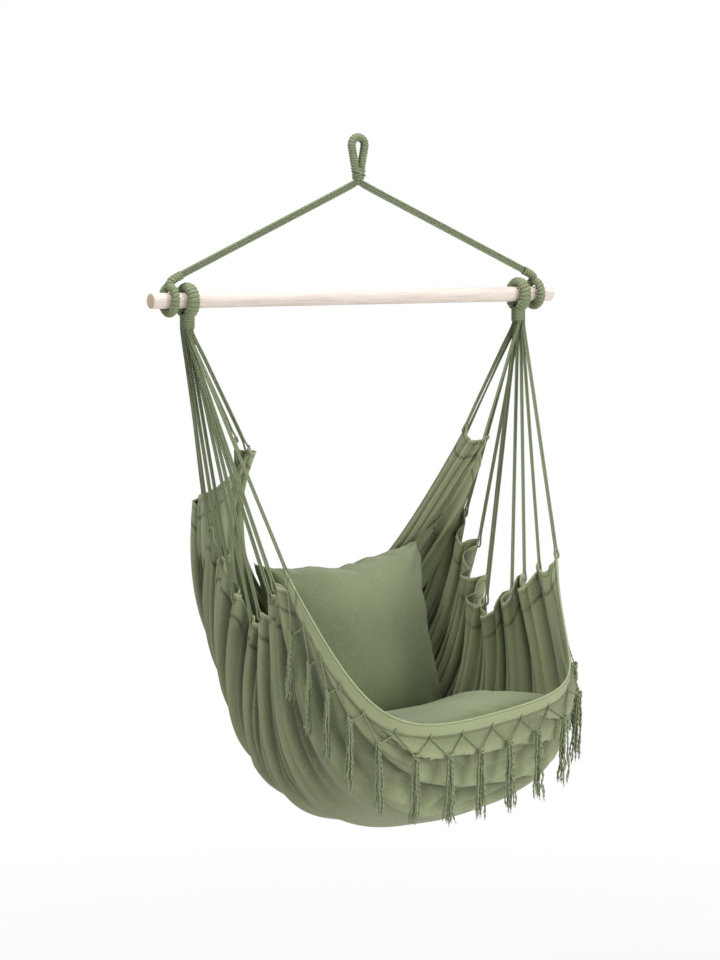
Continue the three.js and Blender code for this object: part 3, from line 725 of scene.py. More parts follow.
def ridges(place, power):
    """Waves from -1 to 1 with a sharp ridge at each whole number"""
    return 1 - 2 * np.abs(np.sin(math.pi * place)) ** power


def overhang(place):
    """Folds from 0 to 1 that swell slowly and tuck back in quickly"""
    part = place - np.floor(place)
    return (smoothstep(0, 1, np.clip(part / SWELL_SHARE, 0, 1))
            * smoothstep(0, 1, np.clip((1 - part) / TUCK_SHARE, 0, 1)))


def front_overhang(row, across):
    """The folds slung between the ends of the front band: how strong, and their waves"""
    below = LAST_ROW - row
    t = np.abs(across)
    slung = below / (1.08 - 0.85 * t ** 2)
    under_front = (smoothstep(0.17, 0.27, below) * (1 - smoothstep(0.7, 1.1, slung))
                   * (1 - t ** 4))
    slack = 0.75 * hump(across, -0.25, 0.28)
    uneven = value_noise(across * 2.5 + 2, slung * 2.1, 11)
    patches = np.clip(0.5 + slack + 0.9 * uneven, 0.08, 1.3)
    wander = 1.1 * value_noise(across * 2.3, slung * 1.7, 5) - 0.9 * across
    waves = overhang(3.3 * slung + wander + 0.15)
    wander = 2.3 * value_noise(across * 3.1 + 5, slung * 2.4, 8)
    finer = overhang(6.3 * slung + wander - 1.7 * across)
    return under_front * patches, 0.75 * waves + 0.25 * finer


def fold_height(row, across):
    """How far the folds stand out of the plain surface"""
    sizes = cloth()
    t = np.abs(across)
    fade = np.clip(np.minimum(row / 2, LAST_ROW - row), 0, 1)
    ends = np.clip(np.minimum(row / 0.4, (LAST_ROW - row) / 0.5), 0, 1)
    pleats = sizes.pleat * fade * t * (0.3 * np.cos(math.tau * row) + 0.85 * ridges(row, 0.6))
    front = np.maximum(0, 1 - np.abs(row - (LAST_ROW - 2 / 3)) * 3)
    long_fold = 0.5 * sizes.bottom_fold * front * (1 - t * t)
    drift = row + 0.12 * value_noise(row * 1.1, across * 1.4, 17)
    strength = 0.6 + 0.4 * value_noise(row * 1.7 + 4, across * 1.2, 31)
    gathered = ends * smoothstep(0.12, 0.6, t) * smoothstep(0.5, 1.1, LAST_ROW - row)
    gathers = sizes.gather * gathered * strength * ridges(3.4 * drift, 0.75)
    side_lines = 1 - 2.4 * np.abs(value_noise(row * 2.3 + 0.35 * across, across * 1.1 + 9, 3))
    hem_gather = t ** 9 * value_noise(row * 7.0, across * 3, 21)
    on_side = smoothstep(0.25, 0.8, t) * ends
    creases = sizes.crease * (0.8 * on_side * side_lines + 1.7 * hem_gather * ends)
    return pleats - long_fold + creases + gathers


def cloth_point(row, across):
    """A point of the folded sling, before its cushions and hems"""
    height = fold_height(row, across)[..., None]
    return sling_point(row, across) + sling_normal(row, across) * height


def grid_normals(grid):
    """The way out of a surface at each of its rows and columns of points"""
    return unit(np.cross(np.gradient(grid, axis=1), np.gradient(grid, axis=0)))


def cloth_lines():
    """The sling's rows and columns, closer together at the hems"""
    rows = np.concatenate([*(start + np.arange(count) / rate for start, count, rate in ROW_SPANS),
                           np.linspace(*EDGE_ROWS)])
    half = np.concatenate([np.linspace(0, 0.9, 46, endpoint=False), np.linspace(0.9, 1, 20)])
    return rows, np.concatenate([-half[:0:-1], half])


def cloth_grid():
    """The sling's middle surface, with its hems raised round the cords and along the front"""
    sizes = cloth()
    row, across = np.meshgrid(*cloth_lines(), indexing="ij")
    middle = cloth_point(row, across)
    strength, waves = front_overhang(row, across)
    lip = sizes.front_fold * (strength * waves)[..., None]
    middle = clear_of_cushions(middle + lip * (grid_normals(middle) + LIP_DROP))
    t = np.abs(across)
    outer = unit(middle[:, [0, -1]] - middle[:, [3, -4]])
    up = np.where((across < 0)[..., None], outer[:, :1], outer[:, 1:])
    peak = sizes.hem_peak * hump(row - np.round(row), 0, 0.13) * smoothstep(0.93, 1, t)
    rise = sizes.front_rise * smoothstep(9.6, LAST_ROW, row) * (1 - t ** 4)
    return middle + peak[..., None] * up + rise[..., None] * FRONT_RISE_WAY


def outer_face():
    """The finished sling's outer face as rows and columns of points"""
    rows, columns = (len(lines) for lines in cloth_lines())
    points = piece_points(bpy.data.objects["canvas_sling"])
    return points[:rows * columns].reshape(rows, columns, 3)


def surface_tree(name):
    """A piece's surface, for finding its nearest point or where a ray meets it"""
    piece = bpy.data.objects[name]
    return BVHTree.FromPolygons(piece_points(piece).tolist(),
                                [p.vertices[:] for p in piece.data.polygons])


def shortfalls(points, name, room):
    """How much nearer than room each point is to a piece, and the way out of the piece"""
    tree = surface_tree(name)
    corners = piece_points(bpy.data.objects[name])
    low, high = corners.min(axis=0), corners.max(axis=0)
    short, ways = np.zeros(len(points)), np.zeros((len(points), 3))
    near = np.all((points > low - room) & (points < high + room), axis=1)
    for index in np.nonzero(near)[0]:
        place, normal, _, _ = tree.find_nearest(Vector(points[index]))
        distance = (Vector(points[index]) - place).dot(normal)
        if distance < room:
            short[index] = room - distance
            ways[index] = normal
    return short, ways


def clear_of_cushions(middle):
    """Lets the cushions push the cloth out, evenly over the cloth round each contact"""
    room = cloth().thickness / 2 + CONTACT_ROOM
    need = np.zeros(middle.shape[:2])
    for name in CUSHION_PIECES:
        short, _ = shortfalls(middle.reshape(-1, 3), name, room)
        need = np.maximum(need, np.minimum(short, DEEPEST_PUSH).reshape(need.shape))
    push = need
    for _ in range(SPREAD_PASSES):
        padded = np.pad(push, 1, mode="edge")
        blurred = (padded[:-2, 1:-1] + padded[2:, 1:-1]
                   + padded[1:-1, :-2] + padded[1:-1, 2:]) / 4
        push = np.maximum(need, blurred)
    return middle + push[..., None] * grid_normals(middle)


def sheet_faces(front, back, row_places, column_places):
    """A closed sheet from its two faces"""
    rows, columns = front.shape[:2]
    quads = grid_faces(rows, columns)
    uvs = grid_uvs(column_places, row_places)
    under = rows * columns
    loop = rim_loop(rows, columns)
    ahead = np.roll(loop, -1)
    rim = np.stack([loop, loop + under, ahead + under, ahead], axis=1)
    start = np.arange(len(loop)) * RIM_STEP
    rim_uv = np.stack([np.stack([start + on, start * 0 + up], axis=1) for on, up in
                       ((0, 0), (0, RIM_HEIGHT), (RIM_STEP, RIM_HEIGHT), (RIM_STEP, 0))], axis=1)
    points = np.concatenate([front.reshape(-1, 3), back.reshape(-1, 3)])
    faces = np.concatenate([quads, quads[:, ::-1] + under, rim])
    return points, faces, np.concatenate([uvs, uvs[:, ::-1], rim_uv])


def front_distances(face):
    """Distance of each point of a face from the front edge, along its column"""
    down = run_lengths(face)
    return down[-1:] - down


def side_distances(face):
    """Distance of each point of a face from the nearest side hem, along its row"""
    over = run_lengths(face, 1)
    return np.minimum(over, over[:, -1:] - over)


def cloth_thickness(from_front, from_side):
    """The canvas with its rolled side hems, its sewn front band, and grooves along the seams"""
    sizes = cloth()
    bead = np.sqrt(np.clip(1 - ((from_side - HALF_BEAD) / HALF_BEAD) ** 2, 0, 1))
    band = 1 - smoothstep(sizes.front_band - 0.002, sizes.front_band, from_front)
    edge = np.sqrt(np.clip(1 - (1 - from_front / ROUNDED_EDGE) ** 2, 0, 1))
    doubled = 1 - smoothstep(sizes.side_seam + 0.003, sizes.side_seam + 0.006, from_side)
    thick = sizes.thickness * (1 + 0.8 * doubled) + BAND_THICKNESS * band
    thick = thick + bead * (sizes.hem_bead - 1.8 * sizes.thickness)
    groove = SEAM_GROOVE * (hump(from_side - sizes.side_seam, 0.002, 0.004)
                            + hump(from_side, 2 * HALF_BEAD, 0.002)
                            + hump(from_front, sizes.front_band, 0.0025))
    rounded = np.where(from_front < ROUNDED_EDGE, np.maximum(edge, 0.3) * thick, thick)
    return rounded - groove


def line_at(grid, distances, want, axis):
    """The points of a grid at one distance from a hem, one for each line across that hem"""
    grid = np.moveaxis(grid, axis, 0)
    distances = np.moveaxis(distances, axis, 0)
    orders = np.argsort(distances, axis=0)
    return np.array([at_places(want, distances[order, k], grid[order, k])
                     for k, order in enumerate(orders.T)])


def stitches(line, outward, pitch, thread):
    """Short threads along a line on the cloth, each a slim bead"""
    along = run_lengths(line)
    starts = np.arange(pitch, along[-1] - 2 * pitch, pitch)
    tangent = unit(at_places(starts + THREAD_SHARE * pitch, along, line)
                   - at_places(starts, along, line))
    up = at_places(starts, along, outward)
    up = unit(up - tangent * np.sum(up * tangent, axis=1)[:, None])
    over = np.cross(tangent, up)
    rings = []
    for share_along, swell in BEAD_RINGS:
        places = at_places(starts + share_along * THREAD_SHARE * pitch, along, line)
        rings.append(np.stack([
            places + thread / 2 * swell * (math.cos(a) * up + math.sin(a) * over)
            for a in math.tau * np.arange(BEAD_SIDES) / BEAD_SIDES], axis=1))
    count, ring_count = len(starts), len(BEAD_RINGS)
    first = np.arange(count) * ring_count * BEAD_SIDES
    faces = (grid_faces(ring_count, BEAD_SIDES, True)[None] + first[:, None, None]).reshape(-1, 4)
    shares_along = np.array([share_along for share_along, _ in BEAD_RINGS])
    uvs = tube_uvs(np.arange(BEAD_SIDES + 1) * thread / 2, shares_along * pitch)
    return np.stack(rings, axis=1).reshape(-1, 3), faces, np.tile(uvs, (count, 1, 1))


class HAMMOCK_OT_stage(bpy.types.Operator):
    """Make the camera, the soft lights, the pale floor and the world"""

    bl_idname = "hammock.stage"
    bl_label = "Stage"

    def execute(self, context):
        self.add_camera(context)
        self.add_lights(context)
        self.add_floor(context)
        self.add_world(context)
        context.scene.view_settings.view_transform = "Standard"
        return {"FINISHED"}

    def add_camera(self, context):
        camera = bpy.data.cameras.new("camera")
        camera.lens = 125.9
        camera.sensor_width = 36
        camera.clip_end = 60
        camera.dof.use_dof = False
        holder = bpy.data.objects.new("camera", camera)
        context.scene.collection.objects.link(holder)
        holder.location = CAMERA_PLACE
        azimuth, pitch = (math.radians(angle) for angle in CAMERA_ANGLES)
        holder.rotation_euler = (math.pi / 2 - pitch, 0, azimuth)
        context.scene.camera = holder

    def add_lights(self, context):
        for name, place, size, power in LAMPS:
            lamp = bpy.data.lights.new(name, "AREA")
            lamp.size = size
            lamp.energy = power
            holder = bpy.data.objects.new(name, lamp)
            context.scene.collection.objects.link(holder)
            holder.location = place
            facing = (Vector(LAMP_AIM) - Vector(place)).to_track_quat("-Z", "Y")
            holder.rotation_euler = facing.to_euler()

    def add_floor(self, context):
        """A pale floor that keeps the shadow under the chair and turns white further away"""
        deselect()
        bpy.ops.mesh.primitive_plane_add(size=24, location=(0, 0, -1.9))
        floor = context.object
        floor.name = "floor"
        shading = Shading("floor", roughness=0.9, specular=0.5)
        place = shading.object_place()
        shading.tint(shading.noise(place, 3), context.scene.hammock_colours.floor,
                     ((0, 0.97), (1, 1)))
        reach = shading.add("ShaderNodeVectorMath", {0: place}, operation="LENGTH")
        fade = shading.add("ShaderNodeMapRange", {
            "Value": reach.outputs["Value"], "From Min": 0.9, "From Max": 2.2,
            "To Min": 0.72, "To Max": 1})
        white = shading.add("ShaderNodeEmission", {"Strength": 1})
        shading.show_white(shading.shader.outputs[0], white.outputs[0], fade.outputs[0],
                           "Material Output")
        floor.data.materials.append(shading.material)

    def add_world(self, context):
        world = bpy.data.worlds.new("studio")
        context.scene.world = world
        world.use_nodes = True
        nodes = Nodes(world.node_tree)
        dim = world.node_tree.nodes["Background"]
        dim.inputs["Color"].default_value = (1, 1, 0.99, 1)
        dim.inputs["Strength"].default_value = 0.15
        white = nodes.add("ShaderNodeBackground", {"Color": (1, 1, 1, 1)})
        nodes.show_white(dim.outputs[0], white.outputs[0], 1.0, "World Output")


def deselect():
    if bpy.context.selected_objects:
        bpy.ops.object.select_all(action="DESELECT")


class HAMMOCK_OT_spreader_bar(bpy.types.Operator):
    """Make the turned wooden bar with bevelled ends and darker end grain"""

    bl_idname = "hammock.spreader_bar"
    bl_label = "Spreader bar"

    def execute(self, context):
        low, high = (Vector(corner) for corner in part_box("spreader_bar"))
        deselect()
        bpy.ops.mesh.primitive_cylinder_add(vertices=72, radius=(high.z - low.z) / 2,
                                            depth=high.x - low.x, location=(low + high) / 2,
                                            rotation=(0, math.pi / 2, 0))
        bar = context.object
        bar.name = "wooden_bar"
        bpy.ops.object.transform_apply(location=True, rotation=True, scale=True)
        bevel = bar.modifiers.new("ends", "BEVEL")
        bevel.width = ropes().bar_bevel
        bevel.segments = 3
        bevel.limit_method = "ANGLE"
        bpy.ops.object.modifier_apply(modifier=bevel.name)
        bpy.ops.object.shade_smooth_by_angle(angle=math.radians(35))
        tints = context.scene.hammock_colours
        bar.data.materials.append(wood_grain("beech_side", tints.wood, SIDE_GRAIN))
        bar.data.materials.append(wood_grain("beech_end", tints.wood_end, END_GRAIN))
        for face in bar.data.polygons:
            face.material_index = int(abs(face.normal.x) > 0.5)
        settle(bar, "bar", ["spreader_bar"])
        return {"FINISHED"}


class HAMMOCK_OT_top_eye(bpy.types.Operator):
    """Make the closely wound hanging eye and its whipped neck"""

    bl_idname = "hammock.top_eye"
    bl_label = "Top eye"

    def execute(self, context):
        sizes = ropes()
        tube = sizes.top_eye_tube
        bend = (sizes.top_eye_width + tube) / 2
        neck_top = -(sizes.top_eye_height + tube / 2)
        centre = tube / 2 - bend
        foot = (sizes.neck_diameter / 2 - FOOT_INSET, 0, neck_top - FOOT_DEPTH)
        shoulder = (tube / 2 + 0.0005, 0, neck_top + sizes.top_eye_width)
        arc = [(bend * math.cos(a), 0, centre + bend * math.sin(a))
               for a in np.linspace(math.pi, 0, 13)]
        mirrored = [(-x, y, z) for x, y, z in (foot, shoulder)]
        eye = wound_sleeve([*mirrored, *arc, shoulder, foot], tube, sizes.winding_cord, (0, 1, 0))
        add_piece("wound_top_eye", [eye], "cotton_rope", "hanging_eye",
                  ["top_eye_rope", "top_eye_winding"])
        self.add_neck(sizes, neck_top)
        return {"FINISHED"}

    def add_neck(self, sizes, top):
        """The whipping, with two cords that cross over its front"""
        outer = sizes.neck_diameter + sizes.winding_cord * 1.1
        heights = (top + 0.003, top - sizes.neck_length / 2, top - sizes.neck_length - 0.0025)
        wraps = wound_sleeve([(0, 0, height) for height in heights], outer,
                             sizes.winding_cord, (0, 1, 0))
        radius = outer / 2 + 0.0008
        crossing = []
        for way in (-1, 1):
            path = [(radius * math.sin(a) * way, -radius * math.cos(a),
                     top - 0.0035 - sizes.neck_length * 0.62 * (a + CROSSING) / (2 * CROSSING))
                    for a in np.linspace(-CROSSING, CROSSING, 12)]
            crossing.append(twisted_cord(path, sizes.winding_cord * 0.85))
        add_piece("whipped_neck", [wraps, *crossing], "cotton_rope", "neck",
                  ["top_neck_whipping"])


class HAMMOCK_OT_suspension_ropes(bpy.types.Operator):
    """Make the ropes of the V from the neck to the bar eyes"""

    bl_idname = "hammock.suspension_ropes"
    bl_label = "Suspension ropes"

    def execute(self, context):
        sizes = ropes()
        for index in range(1, 4):
            nodes = [f"suspension_rope_{word}_{index}" for _, word in SIDES]
            (left_start, left_end), (right_start, right_end) = (rope_ends(node) for node in nodes)
            bend = Vector((0, 0, right_start.z + 0.0012))
            path = [left_end, (left_end + left_start) / 2, left_start * 0.97 + left_end * 0.03,
                    bend, right_start * 0.97 + right_end * 0.03, (right_end + right_start) / 2,
                    right_end]
            rope = twisted_cord(path, sizes.suspension_cord, phase=index, lay=sizes.lay)
            add_piece(f"v_rope_{index}", [rope], "cotton_rope", "suspension", nodes)
        return {"FINISHED"}


def rope_ends(node):
    """Centres of the two ends of a straight rope's solid, upper end first"""
    points = piece_points(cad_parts[node])
    middle = (points[:, 0].min() + points[:, 0].max()) / 2
    ends = [points[points[:, 0] < middle], points[points[:, 0] >= middle]]
    centres = [Vector(end.mean(axis=0)) for end in ends]
    return sorted(centres, key=lambda centre: -centre.z)


class HAMMOCK_OT_bar_eyes(bpy.types.Operator):
    """Make the closely wound eyes that carry the bar, and the splices above them"""

    bl_idname = "hammock.bar_eyes"
    bl_label = "Bar eyes"

    def execute(self, context):
        sizes = ropes()
        radius = (sizes.eye_bore + sizes.bar_eye_tube) / 2
        drop = sizes.bar_drop - (sizes.eye_bore / 2 - BAR_RADIUS - EYE_PLAY)
        top = -drop + radius
        for side, word in SIDES:
            x = side * sizes.bar_eye_centre
            ring = wound_sleeve(ring_path((x, 0, -drop), radius, 0.12, math.tau - 0.24),
                                sizes.bar_eye_tube, sizes.bar_winding_cord, (1, 0, 0))
            _, outer = rope_ends(f"suspension_rope_{word}_2")
            throat = [(x, 0, top - 0.004), (x - side * 0.002, 0, top + 0.007),
                      (x - side * 0.009, 0, top + 0.014),
                      np.array(outer[:]) + (-side * 0.012, 0, 0.005)]
            splice = wound_sleeve(throat, SPLICE_WIDTH, sizes.bar_winding_cord, (0, 1, 0))
            add_piece(f"wound_bar_eye_{word}", [ring, splice], "cotton_rope", "suspension",
                      [f"bar_eye_{word}", f"bar_eye_winding_{word}"])
        return {"FINISHED"}


class HAMMOCK_OT_fan_eyes(bpy.types.Operator):
    """Make the closely wound eyes that hang on the bar, with their whipped necks"""

    bl_idname = "hammock.fan_eyes"
    bl_label = "Fan eyes"

    def execute(self, context):
        sizes = ropes()
        radius = (sizes.eye_bore + sizes.fan_eye_tube) / 2
        drop = sizes.bar_drop + sizes.eye_bore / 2 - BAR_RADIUS - EYE_PLAY
        top = -sizes.bar_drop - sizes.fan_neck_drop
        bottom = top - sizes.fan_neck_length
        heights = (top + 0.004, (top + bottom) / 2, bottom + 0.001)
        breadth = sizes.fan_eye_breadth / sizes.fan_eye_tube
        for side, word in SIDES:
            x = side * sizes.fan_eye_centre
            path = ring_path((x, 0, -drop), radius, math.pi + 0.3, math.tau - 0.6)
            ring = wound_sleeve(path, sizes.fan_eye_tube, sizes.bar_winding_cord, (1, 0, 0),
                                breadth)
            neck = wound_sleeve([(x, 0, height) for height in heights],
                                sizes.fan_neck_diameter + WHIPPING_BUILD, sizes.winding_cord,
                                (1, 0, 0))
            add_piece(f"wound_fan_eye_{word}", [ring, neck], "cotton_rope", "seat",
                      [f"fan_eye_{word}", f"fan_eye_winding_{word}", f"fan_whipping_{word}"])
        return {"FINISHED"}


class HAMMOCK_OT_fan_cords(bpy.types.Operator):
    """Make the doubled cords from each neck to the points of the side hem"""

    bl_idname = "hammock.fan_cords"
    bl_label = "Fan cords"

    def execute(self, context):
        for side, word in SIDES:
            for attachment in range(LAST_ROW + 1):
                node = f"fan_cord_{word}_{attachment + 1:02d}"
                self.add_cord(side, attachment, node)
        return {"FINISHED"}

    def neck_place(self, side, attachment):
        """Where a cord leaves the neck, in the outer or the inner column of cords"""
        sizes = ropes()
        outer = attachment in OUTER_COLUMN
        column = OUTER_COLUMN if outer else INNER_COLUMN
        row = column.index(attachment) + (len(OUTER_COLUMN) - len(column)) / 2
        x = side * (sizes.fan_eye_centre + (0.5 if outer else -0.5) * sizes.column_pitch)
        top = -(sizes.bar_drop + sizes.fan_neck_drop + sizes.fan_neck_length)
        return np.array([x, (2.5 - row) * sizes.row_pitch, top + 0.004])

    def add_cord(self, side, attachment, node):
        """Two runs side by side, which part at the hem and meet in a loop below it"""
        sizes = ropes()
        start = self.neck_place(side, attachment)
        place, hem_side = np.array(attachment, float), np.array(side, float)
        hem = cloth_point(place, hem_side)
        along = unit(hem - start)
        outward = sling_normal(place, hem_side)
        outward = unit(outward - along * outward.dot(along))
        apart = sizes.run_pitch / 2
        spread = (cloth().hem_bead + sizes.fan_cord) / 2
        level = np.array([side, 0, 0])
        lead = start + (0, 0, -LEAD_DROP)
        below = hem + along * LOOP_REACH
        turning = 0.75 * level + 0.25 * outward
        places = ((start, apart * level), (lead, apart * level),
                  (lead + 0.25 * (hem - lead), apart * turning),
                  (hem - along * 0.05, apart * outward),
                  (hem - along * 0.016, apart * 1.1 * outward),
                  (hem - along * 0.003, spread * outward),
                  (below - along * 0.003, spread * 0.9 * outward))
        down, up = ([middle + way * aside for middle, aside in places] for way in (1, -1))
        path = [*down, below, *up[::-1]]
        cord = twisted_cord(path, sizes.fan_cord, phase=attachment, lay=sizes.lay)
        add_piece(f"laid_{node}", [cord], "cotton_rope", "seat", [node])


class HAMMOCK_OT_seat_cloth(bpy.types.Operator):
    """Make the canvas sling with its folds, hems and stitching"""

    bl_idname = "hammock.seat_cloth"
    bl_label = "Seat cloth"

    def execute(self, context):
        middle = cloth_grid()
        normals = grid_normals(middle)
        from_front, from_side = front_distances(middle), side_distances(middle)
        half = cloth_thickness(from_front, from_side)[..., None] / 2
        front, back = middle + normals * half, middle - normals * half
        over = run_lengths(middle, 1)
        sling = sheet_faces(front, back, run_lengths(middle), over - over[:, -1:] / 2)
        piece = add_piece("canvas_sling", [sling], "canvas_sling", "seat", ["seat_cloth"])
        mark_folds(piece, self.wear_and_painted_light(from_front, from_side))
        faces = ((front, normals), (back, -normals))
        self.add_side_stitching(faces, from_side)
        self.add_front_stitching(faces, from_front)
        return {"FINISHED"}

    def wear_and_painted_light(self, from_front, from_side):
        """Both faces' tones: painted highlight on the ridges, painted shade in the folds and along
        the seams, the edges rubbed paler and the front band paler
        """
        sizes = cloth()
        row, across = np.meshgrid(*cloth_lines(), indexing="ij")
        strength, waves = front_overhang(row, across)
        # Painted highlight on the ridges of the side folds and painted shade in their valleys, and
        # under the front band painted highlight on the swelling lips and painted shade in the tucks
        sides = smoothstep(0.2, 0.7, np.abs(across))
        stands = 1.7 * sides * fold_height(row, across) / (sizes.pleat + sizes.gather)
        stands += strength * (1.9 * waves - 0.8)
        # Painted shade along the seam grooves, the edges rubbed paler, and the front band paler
        seams = (hump(from_side - sizes.side_seam, 0.002, 0.004)
                 + hump(from_front, sizes.front_band, 0.003))
        edge = np.exp(-from_side / 0.003) + np.exp(-from_front / 0.003)
        hems = 0.35 * edge - 0.8 * seams + 0.8 * (from_front < sizes.front_band)
        return np.stack([hems + stands, hems - stands])

    def add_side_stitching(self, faces, from_side):
        """Three lines along each side hem, and short seams across it beside each attachment"""
        sizes = cloth()
        rows, columns = cloth_lines()
        tacks = [np.argmin(np.abs(rows - row - aside))
                 for row in range(2, LAST_ROW) for aside in TACKS_ASIDE]
        middle = len(columns) // 2
        for word, part in (("left", slice(0, middle)), ("right", slice(middle, None))):
            near = from_side[:, part]
            parts = []
            for face, outward in ((face[:, part], outward[:, part]) for face, outward in faces):
                for distance in (HEM_STITCH, sizes.side_seam, sizes.side_seam + 0.0045):
                    lines = (line_at(grid, near, distance, 1) for grid in (face, outward))
                    parts.append(stitches(*lines, sizes.stitch * 1.2, sizes.thread))
                for tack in tacks:
                    sewn = (near[tack] > 0.012) & (near[tack] < sizes.side_seam)
                    parts.append(stitches(face[tack][sewn], outward[tack][sewn],
                                          sizes.stitch * 1.2, sizes.thread))
            add_piece(f"side_stitching_{word}", parts, "sewing_thread", "seat")

    def add_front_stitching(self, faces, from_front):
        """One line at each edge of the front band"""
        sizes = cloth()
        parts = []
        for face in faces:
            for distance in (0.0035, sizes.front_band + 0.001):
                lines = (line_at(grid, from_front, distance, 0) for grid in face)
                parts.append(stitches(*lines, sizes.stitch, sizes.thread))
        add_piece("front_stitching", parts, "sewing_thread", "seat")


class HAMMOCK_OT_fringe(bpy.types.Operator):
    """Make the knotted tassels and the thread that carries them along the front hem"""

    bl_idname = "hammock.fringe"
    bl_label = "Fringe"

    def execute(self, context):
        sizes = cloth()
        holes, outwards = self.hole_places(sizes)
        tree = surface_tree("canvas_sling")
        for k in range(len(holes) - 1):
            node = f"fringe_tassel_{k + 1:02d}"
            parts = self.tassel(sizes, node, holes[k:k + 2], outwards[k:k + 2], tree, k)
            add_piece(f"knotted_{node}", parts, "fringe_thread", "seat", [node])
        self.add_seam_cord(sizes)
        return {"FINISHED"}

    def hole_places(self, sizes):
        """Holes spaced evenly along the front hem, on the outside of the cloth"""
        count = sum(name.startswith("fringe_tassel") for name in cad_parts) + 1
        across = np.linspace(-1, 1, 401)
        along = run_lengths(sling_point(np.full(401, float(LAST_ROW)), across))
        wants = np.linspace(sizes.end_inset, along[-1] - sizes.end_inset, count)
        places = np.interp(wants, along, across)
        _, columns = cloth_lines()
        points, ways = (at_places(places, columns, values)
                        for values in self.line_below_edge(sizes.fringe_inset))
        return points + ways * HOLE_STAND, ways

    def line_below_edge(self, distance):
        """The outer face's points and normals at one distance from the front edge"""
        face = outer_face()
        from_front = front_distances(face)
        return [line_at(grid, from_front, distance, 0) for grid in (face, grid_normals(face))]

    def knot_place(self, node):
        """The middles of a tassel's knot and of its lower end"""
        points = piece_points(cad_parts[node])
        foot = points[:, 2].min()
        knot = points[np.abs(points[:, 2] - (foot + KNOT_HEIGHT)) < 0.008]
        skirt = points[points[:, 2] < foot + 0.004]
        return knot.mean(axis=0), skirt.mean(axis=0)

    def outside(self, point, tree, room, way):
        """The point, moved out of the cloth where it lies in it or behind it"""
        reach = 0.08
        place, _, _, _ = tree.ray_cast(Vector(point + way * reach), Vector(-way), 2 * reach)
        if place is None:
            return point
        return point + way * max(0.0, (np.array(place) - point).dot(way) + room)

    def tassel(self, sizes, node, ends, outwards, tree, number):
        """Two legs from the hem's holes, a knot, and loose strands with frayed tips"""
        random = np.random.default_rng(40 + number)
        knot, foot = self.knot_place(node)
        way = unit((outwards[0] + outwards[1]) * (1, 1, 0))
        knot = self.outside(knot, tree, sizes.knot_width / 2, way)
        aside = unit(ends[1] - ends[0])
        cord = sizes.fringe_cord
        parts = []
        for hole, outward, lean in zip(ends, outwards, (1, -1)):
            lift = hole + np.array([0, 0, 0.009]) + aside * lean * 0.0012
            middle = self.outside((hole + knot) / 2 + (0, 0, -0.003), tree, cord * 0.55, way)
            leg = [lift, hole + outward * 0.0008, middle, knot + aside * -lean * 0.002]
            parts.append(twisted_cord(leg, cord, strands=2, sides=8, lay=4.5))
        parts.extend(self.knot_turns(sizes, knot, aside, way))
        fall = foot - knot
        bundle_swing = random.uniform(-1, 1, (STRAND_STEPS, 2)) * 0.0016
        for k in range(STRANDS):
            angle = math.tau * k / STRANDS + random.uniform(-0.3, 0.3)
            spread = np.array([math.cos(angle), math.sin(angle)]) * (0.35 if k % 3 == 0 else 1.0)
            drop = (sizes.tassel_length - 0.002 + random.uniform(-0.012, 0.003)) / abs(fall[2])
            swing = bundle_swing + random.uniform(-1, 1, (STRAND_STEPS, 2)) * 0.0014
            path = []
            for step, wander in zip(np.linspace(0, 1, STRAND_STEPS), swing):
                flare = 0.0045 + 0.0058 * step ** 0.8
                side = spread * flare + wander * (0.3 + step)
                middle = self.outside(knot + fall * drop * step, tree, flare + cord * 0.7, way)
                path.append(middle + aside * side[0] + way * side[1])
            parts.append(twisted_cord(path, cord * 1.15, strands=2, sides=8, lay=5.5, phase=k))
            parts.extend(self.frayed(path, cord, random))
        return parts

    def knot_turns(self, sizes, knot, aside, way):
        """Two turns of thread, one above the other and tilted against it"""
        radius = sizes.knot_width * 0.33
        turns = []
        for turn, tilt in ((0.0, 0.35), (0.5, -0.4)):
            lower = turn * sizes.knot_width * 0.35
            loop = [knot + radius * (math.cos(a) * aside + math.sin(a) * way)
                    + (0, 0, tilt * radius * math.sin(a + turn) - lower)
                    for a in np.linspace(0, math.tau * 1.05, 14) + turn * math.tau]
            turns.append(twisted_cord(loop, sizes.fringe_cord * 1.35, sides=8, lay=3.6))
        return turns

    def frayed(self, path, cord, random):
        """Loose fibres below the end of a strand"""
        tip = path[-1]
        down = unit(tip - path[-2])
        made = []
        for _ in range(LOOSE_FIBRES):
            away = random.uniform(-1, 1, 3) * 0.0030
            points = [tip - down * 0.001, tip + down * 0.0025 + away * 0.6,
                      tip + down * random.uniform(0.0035, 0.0055) + away]
            made.append(twisted_cord(points, cord * 0.28, strands=1, sides=5, step=1.5))
        return made

    def add_seam_cord(self, sizes):
        """A thin twisted cord along the seam, under the fringe's legs"""
        line, outward = self.line_below_edge(sizes.fringe_inset + 0.0015)
        cord = twisted_cord((line + outward * 0.001)[4:-4], sizes.fringe_cord * 0.8, strands=2,
                            sides=8, lay=4)
        add_piece("front_seam_cord", [cord], "fringe_thread", "seat")


